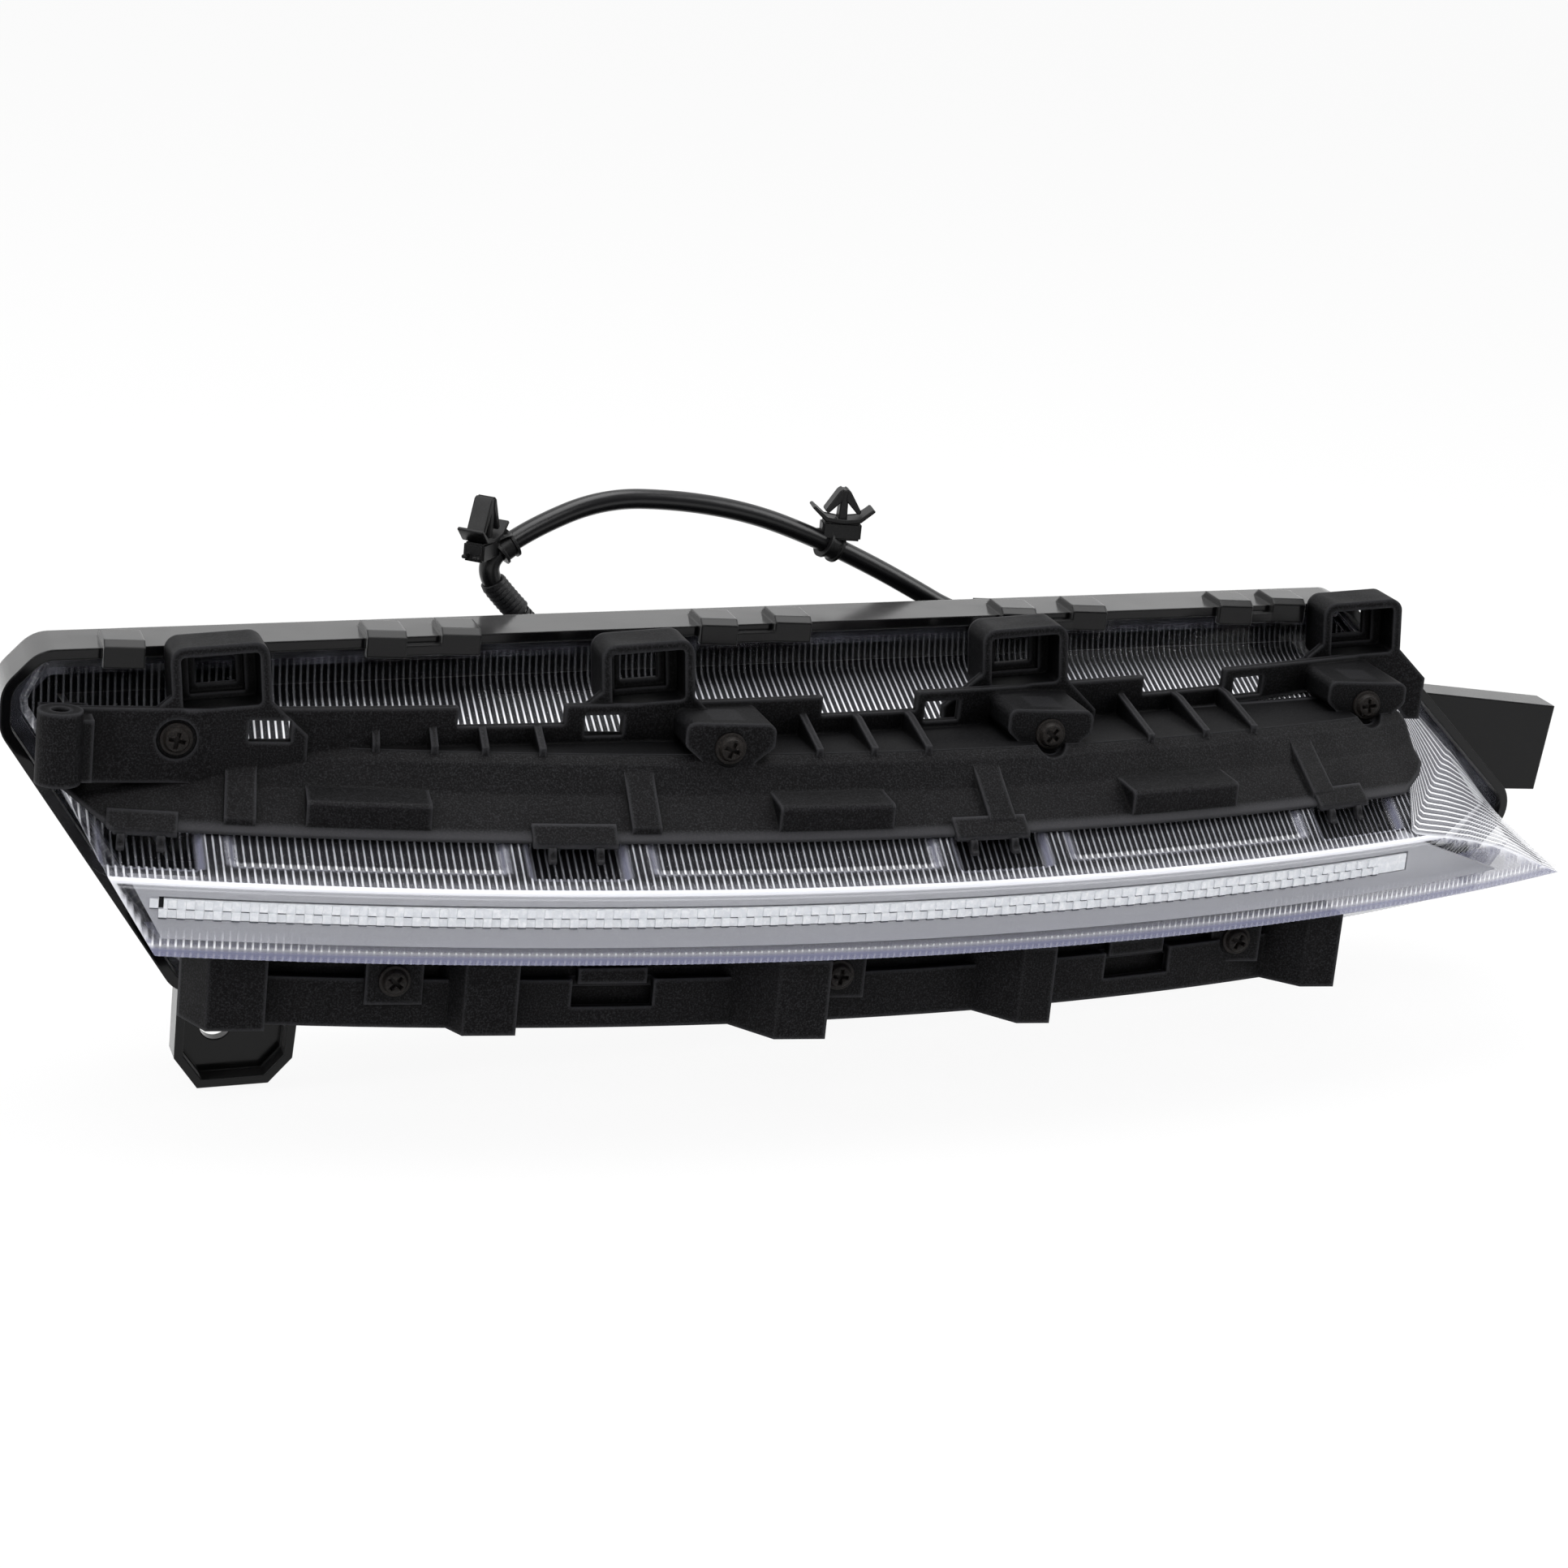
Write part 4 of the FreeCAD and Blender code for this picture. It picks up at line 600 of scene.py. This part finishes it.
def lens_look(x, row, from_left, from_right):
    """How deep the skin is sunk, how strong its flutes and the painted highlights along their ridges are, its
    haze and its tint.
    """
    kind, k, t = row
    if kind == "turn":
        return TURN_LOOKS[k]
    if k == TOP:
        return 0, 0.6, 0.03, 0.0, 0.3
    if k == SLOPE:
        return 0, 1.0, 0.15 + 0.85 * eased(t, 0.0, 0.4), 0.13 * t, 0.3
    if k == BLADE:
        window = held(x, WINDOWS, 3.0) * (1 - eased(t, 0.75, 0.81))
        scoop = held(x, SCOOPS, 5.0) * (1 - eased(t, 0.68, 0.76))
        rim = 4 * window * (1 - window)
        lip = 4 * scoop * (1 - scoop)
        # Painted highlight: a dotted bright line where the floor of each scoop meets its front wall.
        crease_highlight = held(x, SCOOPS, 6.0) * eased(t, 0.61, 0.64) * (1 - eased(t, 0.7, 0.73))
        crest_highlight = 0.33 + 0.25 * eased(t, 0.78, 0.9) - 0.2 * window - 0.2 * rim + 0.35 * crease_highlight
        haze = 0.02 + 0.13 * eased(t, 0.85, 0.95) - 0.02 * window + 0.5 * rim + 0.3 * lip + 0.12 * crease_highlight
        tint = 0.45 + 0.4 * rim + 0.3 * lip - 0.4 * crease_highlight
        return WINDOW_DEPTH * window + SCOOP_DEPTH * scoop, 1.0 - 0.7 * rim, crest_highlight, haze, tint
    if k == FACE:
        # Painted highlights on the face: white bands at its ends, bright lines along its foot and a dotted line
        # above the sill.
        edge = max(1 - eased(from_left, 1.0, 1.8), 1 - eased(from_right, 1.2, 2.2))
        end = (1 - eased(from_right, 6.5, 8.5)) * (1 - edge)
        line = eased(t, 0.04, 0.06) * (1 - eased(t, 0.06, 0.09))
        ends = max(1 - eased(x, -5, 55), eased(x, 230, 340))
        foot = eased(t, 0.72, 0.82)
        low = foot * (0.12 + 0.7 * ends)
        dots = eased(t, 0.87, 0.88) * (1 - eased(t, 0.9, 0.93))
        sill = eased(t, 0.9, 0.93)
        haze = max(0.015, 0.25 * line, 0.7 * edge, 0.4 * end, 0.3 * foot, 0.3 * dots, 0.62 * sill)
        crest_highlight = max(low, 0.45 * end, 0.6 * dots) * (1 - sill)
        plain = 0.3 * (1 - line) * (1 - edge) * (1 - dots)
        tint = max(plain, sill, 0.7 * end, 0.75 * foot * (1 - dots))
        return 0, 0.3 * max(low, end), crest_highlight, haze, tint
    if k == SILL:
        return 0, 0.5, 0.45, 0.4, 0.9
    return 0, 0.5, 0.45, 0.25, 0.5


def lens_skin():
    """The outer skin of the lens: inner side, front and outer end, with its flutes and looks as attributes."""
    count = int((LENS_RIGHT - LENS_LEFT) / FLUTE * FLUTE_COLUMNS) + 1
    columns = [LENS_LEFT + i * FLUTE / FLUTE_COLUMNS for i in range(count)]
    vertices, flutes, phases, looks = [], [], [], []
    for row in lens_rows:
        z_row = lens_place(BOW_X, row)[1]
        left, right = between(LEFT_FRONT, z_row), between(RIGHT_FRONT, z_row)
        rear_left, rear_right = between(LEFT_REAR, z_row), between(RIGHT_REAR, z_row)
        line = []
        for x in columns:
            x = min(max(x, left), right)
            y, z = lens_place(x, row)
            sunk, flute, crest_highlight, haze, tint = lens_look(x, row, x - left, right - x)
            fade = eased(right - x, 0, SEAM_FADE)
            flute, crest_highlight = flute * fade, crest_highlight * fade
            line.append((x, y + SINK.x * sunk, z + SINK.y * sunk, flute, x / FLUTE, crest_highlight, haze, tint))
        first, last = line[0], line[-1]
        rear = (rear_left, swept(rear_left, LENS_REAR), first[2])
        ahead = []
        for i in range(SIDE_COLUMNS):
            t = i / SIDE_COLUMNS
            place = tuple(r + (f - r) * t for r, f in zip(rear, first))
            ahead.append(place + (SIDE_FLUTE, place[2] / BEAD_PITCH, *SIDE_LOOK))
        rear = (rear_right, swept(rear_right, LENS_REAR), last[2])
        # The outer end has a fan of lines, painted highlights on its flutes, which fade out at the seam.
        behind = []
        for i in range(1, END_COLUMNS + 1):
            t = i / END_COLUMNS
            place = tuple(f + (r - f) * t for r, f in zip(rear, last))
            fade = eased(t, 0.01, 0.04)
            behind.append(place + (0.5 * fade, END_LINES * t, 0.95 * fade, 0.6 - 0.32 * fade, 0.25 * fade))
        for x, y, z, flute, phase, crest_highlight, haze, tint in ahead + line + behind:
            vertices.append((x * MM, y * MM, z * MM))
            flutes.append(flute)
            phases.append(phase)
            looks += (crest_highlight, haze, tint, 1.0)
    width = SIDE_COLUMNS + count + END_COLUMNS
    faces = []
    for row in range(len(lens_rows) - 1):
        for i in range(width - 1):
            a = row * width + i
            faces.append((a, a + width, a + width + 1, a + 1))
    mesh = bpy.data.meshes.new("clear_lens")
    mesh.from_pydata(vertices, [], faces)
    mesh.attributes.new("flute", "FLOAT", "POINT").data.foreach_set("value", flutes)
    mesh.attributes.new("phase", "FLOAT", "POINT").data.foreach_set("value", phases)
    mesh.attributes.new("look", "FLOAT_COLOR", "POINT").data.foreach_set("color", looks)
    form = bmesh.new()
    form.from_mesh(mesh)
    bmesh.ops.remove_doubles(form, verts=form.verts, dist=0.01 * MM)
    bmesh.ops.dissolve_degenerate(form, edges=form.edges, dist=0.005 * MM)
    form.to_mesh(mesh)
    form.free()
    mesh.shade_smooth()
    return mesh


# The colour sockets of a mix node, its two inputs and its output.
MIX_A, MIX_B, MIX_OUT = 6, 7, 2
# Clear polycarbonate: see-through with a faint lavender tint, with painted highlights: a bright line along the
# ridge of each flute, and white edges where light gathers.
clear, tree, shader = new_finish("clear_polycarbonate", {
    "Roughness": 0.12, "Specular IOR Level": 0.5, "IOR": 1.58})
look = add_node(tree, "ShaderNodeAttribute", {"attribute_name": "look"})
crest_highlights, hazes, tints = add_node(tree, "ShaderNodeSeparateColor", None, {0: look.outputs["Color"]}).outputs
phase = add_node(tree, "ShaderNodeAttribute", {"attribute_name": "phase"})
turn = add_node(tree, "ShaderNodeMath", {"operation": "MULTIPLY", 1: math.tau}, {0: phase.outputs["Fac"]})
wave = add_node(tree, "ShaderNodeMath", {"operation": "COSINE"}, {0: turn.outputs[0]})
# The painted highlight on each flute: bright along its ridge, as strong as the look attribute says.
crest_highlight = add_node(tree, "ShaderNodeMapRange", {
    "interpolation_type": "SMOOTHSTEP", "From Min": 0.3, "From Max": 0.88}, {"Value": wave.outputs[0]})
lines = add_node(tree, "ShaderNodeMath", {"operation": "MULTIPLY"}, {0: crest_highlight.outputs[0], 1: crest_highlights})
body = add_node(tree, "ShaderNodeMix", {
    "data_type": "RGBA", MIX_A: linear("#f2f3fa"), MIX_B: linear("#7d7f9c")}, {0: tints})
colour = add_node(tree, "ShaderNodeMix", {"data_type": "RGBA", MIX_B: linear("#fbfcff")},
                  {0: lines.outputs[0], MIX_A: body.outputs[MIX_OUT]})
facing = add_node(tree, "ShaderNodeLayerWeight", {"Blend": 0.25})
glance = add_node(tree, "ShaderNodeMath", {"operation": "MULTIPLY", 1: 0.015}, {0: facing.outputs["Facing"]})
opaque = add_node(tree, "ShaderNodeMath", {"operation": "MAXIMUM"}, {0: lines.outputs[0], 1: hazes})
alpha = add_node(tree, "ShaderNodeMath", {"operation": "ADD", "use_clamp": True},
                 {0: opaque.outputs[0], 1: glance.outputs[0]})
tree.links.new(colour.outputs[MIX_OUT], shader.inputs["Base Color"])
tree.links.new(alpha.outputs[0], shader.inputs["Alpha"])
# The inner skin of the lens: plain and clear, only its rim shows.
inner_clear = new_finish("clear_polycarbonate_inside", {
    "Base Color": linear("#2c2d36"), "Roughness": 0.1, "Alpha": 0.03})[0]

lens_blank = bpy.data.objects.new("lens_blank", lens_skin())
scene.collection.objects.link(lens_blank)
flutes = bpy.data.node_groups.new("flutes", "GeometryNodeTree")
flutes.interface.new_socket("Geometry", in_out="INPUT", socket_type="NodeSocketGeometry")
flute_depth = flutes.interface.new_socket("Depth", in_out="INPUT", socket_type="NodeSocketFloat")
flutes.interface.new_socket("Geometry", in_out="OUTPUT", socket_type="NodeSocketGeometry")
source = add_node(flutes, "NodeGroupInput")
amount = add_node(flutes, "GeometryNodeInputNamedAttribute", {"data_type": "FLOAT", "Name": "flute"})
phase = add_node(flutes, "GeometryNodeInputNamedAttribute", {"data_type": "FLOAT", "Name": "phase"})
turn = add_node(flutes, "ShaderNodeMath", {"operation": "MULTIPLY", 1: math.tau},
                {0: phase.outputs["Attribute"]})
wave = add_node(flutes, "ShaderNodeMath", {"operation": "COSINE"}, {0: turn.outputs[0]})
height = add_node(flutes, "ShaderNodeMath", {"operation": "MULTIPLY"},
                  {0: wave.outputs[0], 1: amount.outputs["Attribute"]})
height = add_node(flutes, "ShaderNodeMath", {"operation": "MULTIPLY"},
                  {0: height.outputs[0], 1: source.outputs["Depth"]})
facing = add_node(flutes, "GeometryNodeInputNormal")
offset = add_node(flutes, "ShaderNodeVectorMath", {"operation": "SCALE"},
                  {0: facing.outputs[0], "Scale": height.outputs[0]})
moved = add_node(flutes, "GeometryNodeSetPosition", None, {
    "Geometry": source.outputs["Geometry"], "Offset": offset.outputs[0]})
whole = add_node(flutes, "GeometryNodeRealizeInstances", None, {0: moved.outputs[0]})
finished = add_node(flutes, "GeometryNodeSetMaterial", {"Material": clear}, {"Geometry": whole.outputs[0]})
add_node(flutes, "NodeGroupOutput", None, {0: finished.outputs[0]})
lens_mesh = baked(lens_blank, flutes, [(flute_depth, FLUTE_DEPTH / 2 * MM)])
lens_mesh.materials.append(inner_clear)
lens = piece("clear_lens", lens_mesh, "clear_lens", "lens")
wall = lens.modifiers.new("wall", "SOLIDIFY")
wall.thickness = LENS_WALL * MM
wall.offset = -1.0
wall.material_offset = 1

RIM = [(-47, 5), (-57, -5), (-57, -17), (-4.5, -95), (438, -89), (458, -67), (377.5, 5)]
RIM_ROUND, ARC_STEPS = 10, 8


def rim_line(inset):
    """The rounded outline of the rim, drawn in by an inset, as (x, z) places."""
    count = len(RIM)
    normals = []
    for (x0, z0), (x1, z1) in zip(RIM, RIM[1:] + RIM[:1]):
        run = math.hypot(x1 - x0, z1 - z0)
        normals.append(Vector(((z1 - z0) / run, -(x1 - x0) / run)))
    line = []
    for i in range(count):
        before, after = normals[i - 1], normals[i]
        middle = (before + after).normalized()
        core = Vector(RIM[i]) - middle * (RIM_ROUND / middle.dot(after))
        for step in range(ARC_STEPS + 1):
            way = before.lerp(after, step / ARC_STEPS).normalized()
            line.append(core + way * (RIM_ROUND - inset))
    return line


# Clear polycarbonate seen edge on: a thin lavender grey veil, stronger in some places than in others.
edge_clear, tree, shader = new_finish("polycarbonate_edge", {"Roughness": 0.15, "IOR": 1.58})
where = add_node(tree, "ShaderNodeTexCoord")
flow = add_node(tree, "ShaderNodeTexNoise", {"Scale": 1 / (9 * MM), "Detail": 2.0},
                {"Vector": where.outputs["Object"]})
tint = add_node(tree, "ShaderNodeValToRGB", None, {"Fac": flow.outputs["Fac"]})
tint.color_ramp.elements[0].color = linear("#2b2c33")
tint.color_ramp.elements[1].color = linear("#8f91a0")
haze = add_node(tree, "ShaderNodeMapRange", {
    "From Min": 0.3, "From Max": 0.7, "To Min": 0.05, "To Max": 0.22}, {"Value": flow.outputs["Fac"]})
tree.links.new(tint.outputs[0], shader.inputs["Base Color"])
tree.links.new(haze.outputs[0], shader.inputs["Alpha"])
FLANGE_OUT, FLANGE_IN, FLANGE_FRONT, FLANGE_BACK = 3.3, 7.5, 22.6, 25.8
form = bmesh.new()
hoops = [[form.verts.new(Vector((x, swept(x, depth), z)) * MM) for x, z in rim_line(inset)]
         for inset, depth in ((FLANGE_OUT, FLANGE_FRONT), (FLANGE_IN, FLANGE_FRONT), (FLANGE_IN, FLANGE_BACK),
                              (FLANGE_OUT, FLANGE_BACK))]
for hoop, after in zip(hoops, hoops[1:] + hoops[:1]):
    for i in range(len(hoop)):
        form.faces.new((hoop[i - 1], hoop[i], after[i], after[i - 1]))
UPPER_SCREWS = [(-11.2, 0.3), (142.3, -0.2), (244.9, 20.5), (364.1, 60)]
UPPER_SCREW_Z, LOWER_SCREW_Z, PAD_DEPTH, SILL_RADIUS = -16, -80, 4, 712
LOWER_SCREWS = [50, 178.5, 313.8]
TOWER_SOFT, POST_SINK = 1.2, 3
TOWER_HALF, TOWER_DEPTH, TOWER_TOP, TOWER_FOOT, TOWER_SIDES = 4.5, 11, -10.5, -33, 24
for x, y in UPPER_SCREWS:
    extruded(form, [(-TOWER_HALF, TOWER_FOOT), (TOWER_HALF, TOWER_FOOT), (TOWER_HALF, TOWER_TOP),
                    (-TOWER_HALF, TOWER_TOP)], TOWER_DEPTH,
             Matrix.Translation(Vector((x, y + PAD_DEPTH + TOWER_DEPTH / 2, 0)) * MM), TOWER_SOFT)
for x in LOWER_SCREWS:
    angles = [math.tau * i / TOWER_SIDES for i in range(TOWER_SIDES)]
    disc = [(TOWER_HALF * math.cos(angle), TOWER_HALF * math.sin(angle)) for angle in angles]
    extruded(form, disc, TOWER_DEPTH, Matrix.Translation(
        Vector((x, bowed(x, SILL_RADIUS - POST_SINK) + TOWER_DEPTH / 2, LOWER_SCREW_Z)) * MM), 0)
piece("lens_flange_and_towers", shaped("lens_flange_and_towers", form, edge_clear), "clear_lens")


# Brackets.
# Two glass-filled nylon mouldings screwed to the lens, one above its face and one below.
# Small hooks under the lip of the upper one clip into the windows of the lens.

# Glass-filled nylon: matt black with a pale speckle of fibres at its skin, drawn coarser than it is so
# that it shows.
glass_nylon = grained("glass_filled_nylon", "#060607", "#262628", 0.55, 0.5, 0.4, 1.4, 0.08)
# Its edges are painted lighter, a painted highlight, and its corners are painted darker, a painted shade.
HIGHLIGHT_EDGE, SHADE_REACH = 1.3, 12
tree = glass_nylon.node_tree
shader = tree.nodes["Principled BSDF"]
skin = shader.inputs["Base Color"].links[0].from_socket
# Painted shade: the colour is darkened where other surfaces come close, in corners and recesses.
shade = add_node(tree, "ShaderNodeAmbientOcclusion", {"samples": 8, "Distance": SHADE_REACH * MM},
                 {"Color": skin})
# Painted highlight: the colour is lifted towards pale grey along the edges.
edge_finder = add_node(tree, "ShaderNodeAmbientOcclusion", {
    "samples": 8, "inside": True, "only_local": True, "Distance": HIGHLIGHT_EDGE * MM})
painted_edge_highlight = add_node(tree, "ShaderNodeMapRange", {"From Min": 0.95, "From Max": 0.45, "To Max": 0.6},
                {"Value": edge_finder.outputs["AO"]})
painted_shade_and_highlight = add_node(tree, "ShaderNodeMix", {"data_type": "RGBA", MIX_B: linear("#3f3f42")},
                  {0: painted_edge_highlight.outputs[0], MIX_A: shade.outputs["Color"]})
tree.links.new(painted_shade_and_highlight.outputs[MIX_OUT], shader.inputs["Base Color"])
dress(glass_nylon, "upper_bracket", "lower_bracket")
planted = bpy.data.node_groups.new("planted", "GeometryNodeTree")
planted.interface.new_socket("Geometry", in_out="INPUT", socket_type="NodeSocketGeometry")
planted_model = planted.interface.new_socket("Model", in_out="INPUT", socket_type="NodeSocketObject")
planted_size = planted.interface.new_socket("Size", in_out="INPUT", socket_type="NodeSocketFloat")
planted_finish = planted.interface.new_socket("Finish", in_out="INPUT", socket_type="NodeSocketMaterial")
planted.interface.new_socket("Geometry", in_out="OUTPUT", socket_type="NodeSocketGeometry")
source = add_node(planted, "NodeGroupInput")
spots = add_node(planted, "GeometryNodeMeshToPoints", None, {"Mesh": source.outputs["Geometry"]})
model = add_node(planted, "GeometryNodeObjectInfo", None, {"Object": source.outputs["Model"]})
turn = add_node(planted, "GeometryNodeInputNamedAttribute", {"data_type": "FLOAT_VECTOR", "Name": "turn"})
placed = add_node(planted, "GeometryNodeInstanceOnPoints", None, {
    "Points": spots.outputs[0], "Instance": model.outputs["Geometry"], "Rotation": turn.outputs["Attribute"],
    "Scale": source.outputs["Size"]})
solid = add_node(planted, "GeometryNodeRealizeInstances", None, {0: placed.outputs[0]})
done = add_node(planted, "GeometryNodeSetMaterial", None, {
    "Geometry": solid.outputs[0], "Material": source.outputs["Finish"]})
add_node(planted, "NodeGroupOutput", None, {0: done.outputs[0]})


def plant(name, spots, model_mesh, finish, scale=1.0):
    """Sets a copy of a model at each spot: a place, a turn in degrees about Z and a spin about its own Y."""
    points = bpy.data.meshes.new(name)
    points.from_pydata([place for place, turn, spin in spots], [], [])
    turns = points.attributes.new("turn", "FLOAT_VECTOR", "POINT")
    for value, (place, turn, spin) in zip(turns.data, spots):
        value.vector = (0, math.radians(spin), math.radians(turn))
    holder = bpy.data.objects.new(name + "_spots", points)
    model = bpy.data.objects.new(name + "_model", model_mesh)
    scene.collection.objects.link(holder)
    scene.collection.objects.link(model)
    mesh = baked(holder, planted, [(planted_model, model), (planted_size, scale), (planted_finish, finish)])
    bpy.data.objects.remove(model)
    return mesh


# The clips of the bracket, as turns in degrees round the bow from one end to the other; each has two hooks.
CLIPS = [(-9.6, -8.1), (-0.5, 1.4), (9.5, 11.4), (20.0, 21.6)]
HOOK_RADIUS, HOOK_Z = 718.6, -39.2
HOOK = [(0, 0), (1.6, 0), (2.2, -0.8), (2.2, -2.6), (3.4, -3.2), (3.2, -4.2), (1.2, -4.0), (0.6, -1.6),
        (0, -1.4)]
HOOK_SHARES = (0.22, 0.78)
HOOK_WIDTH, HOOK_SOFT = 2.2, 0.2
form = bmesh.new()
extruded(form, HOOK, HOOK_WIDTH, Matrix.Rotation(math.radians(-90), 4, "Z"), HOOK_SOFT)
hook = shaped("hook", form)
hook_spots = []
for start, end in CLIPS:
    for share in HOOK_SHARES:
        turn = start + (end - start) * share
        hook_spots.append((on_bow(HOOK_RADIUS, turn, HOOK_Z), turn, 0))
piece("bracket_hooks", plant("bracket_hooks", hook_spots, hook, glass_nylon), "bracket_black")


# Screws.
# Seven phosphated steel pan heads with a washer rim and a cross recess fix the brackets to the lens;
# three smaller ones inside hold the optic carrier.

# The outline of a screw, as (radius, y) places from the top of its head to its tip.
SCREW_PROFILE = [(0, -2.6), (2.3, -2.6), (3.0, -2.3), (3.4, -1.6), (3.6, -0.9), (4.4, -0.8), (4.5, -0.5),
                 (4.5, 0.0), (1.7, 0.0), (1.7, 11.4), (1.1, 12.0), (0, 12.0)]
SCREW_SIDES = 36
CROSS = [(0.55, 0.55), (0.6, 2.3), (-0.6, 2.3), (-0.55, 0.55), (-2.3, 0.6), (-2.3, -0.6), (-0.55, -0.55),
         (-0.6, -2.3), (0.6, -2.3), (0.55, -0.55), (2.3, -0.6), (2.3, 0.6)]
CROSS_DEPTH, CROSS_MIDDLE = 2.4, -2.1
form = bmesh.new()
turned = [form.verts.new((radius * MM, y * MM, 0)) for radius, y in SCREW_PROFILE]
rims = [form.edges.new(pair) for pair in zip(turned, turned[1:])]
bmesh.ops.spin(form, geom=turned + rims, axis=(0, 1, 0), cent=(0, 0, 0), angle=math.tau, steps=SCREW_SIDES)
bmesh.ops.remove_doubles(form, verts=form.verts, dist=0.005 * MM)
screw = bpy.data.objects.new("screw", shaped("screw", form, sharp=30))
form = bmesh.new()
extruded(form, CROSS, CROSS_DEPTH, Matrix.Translation((0, CROSS_MIDDLE * MM, 0)), 0)
cross = bpy.data.objects.new("cross", shaped("cross", form))
for thing in (screw, cross):
    scene.collection.objects.link(thing)
recess = screw.modifiers.new("recess", "BOOLEAN")
recess.object = cross
recess.solver = "EXACT"
screw_mesh = bpy.data.meshes.new_from_object(screw.evaluated_get(bpy.context.evaluated_depsgraph_get()))
for thing in (screw, cross):
    bpy.data.objects.remove(thing)
# Phosphated steel: brown black and matt, with lighter flecks where it is rubbed.
phosphate = grained("phosphated_steel", "#12100f", "#2b2623", 0.5, 0.4, 0.2, 0.3, 0.15)
# How far each screw was turned when it was driven home, in degrees.
UPPER_SPINS, LOWER_SPINS = (12, 20, 35, -8), (40, 5, 25)
HEAD_AHEAD = 1
upper_spots = [(Vector((x, y, UPPER_SCREW_Z)) * MM, 0, spin)
               for (x, y), spin in zip(UPPER_SCREWS, UPPER_SPINS)]
lower_spots = [(Vector((x, bowed(x, SILL_RADIUS) - HEAD_AHEAD, LOWER_SCREW_Z)) * MM, 0, spin)
               for x, spin in zip(LOWER_SCREWS, LOWER_SPINS)]
for name, spots, replaced in (("upper_screws", upper_spots, "upper_bracket_screws"),
                              ("lower_screws", lower_spots, "lower_bracket_screws")):
    piece(name, plant(name, spots, screw_mesh, phosphate), "screw_steel", replaced)
dress(phosphate, "carrier_screws")
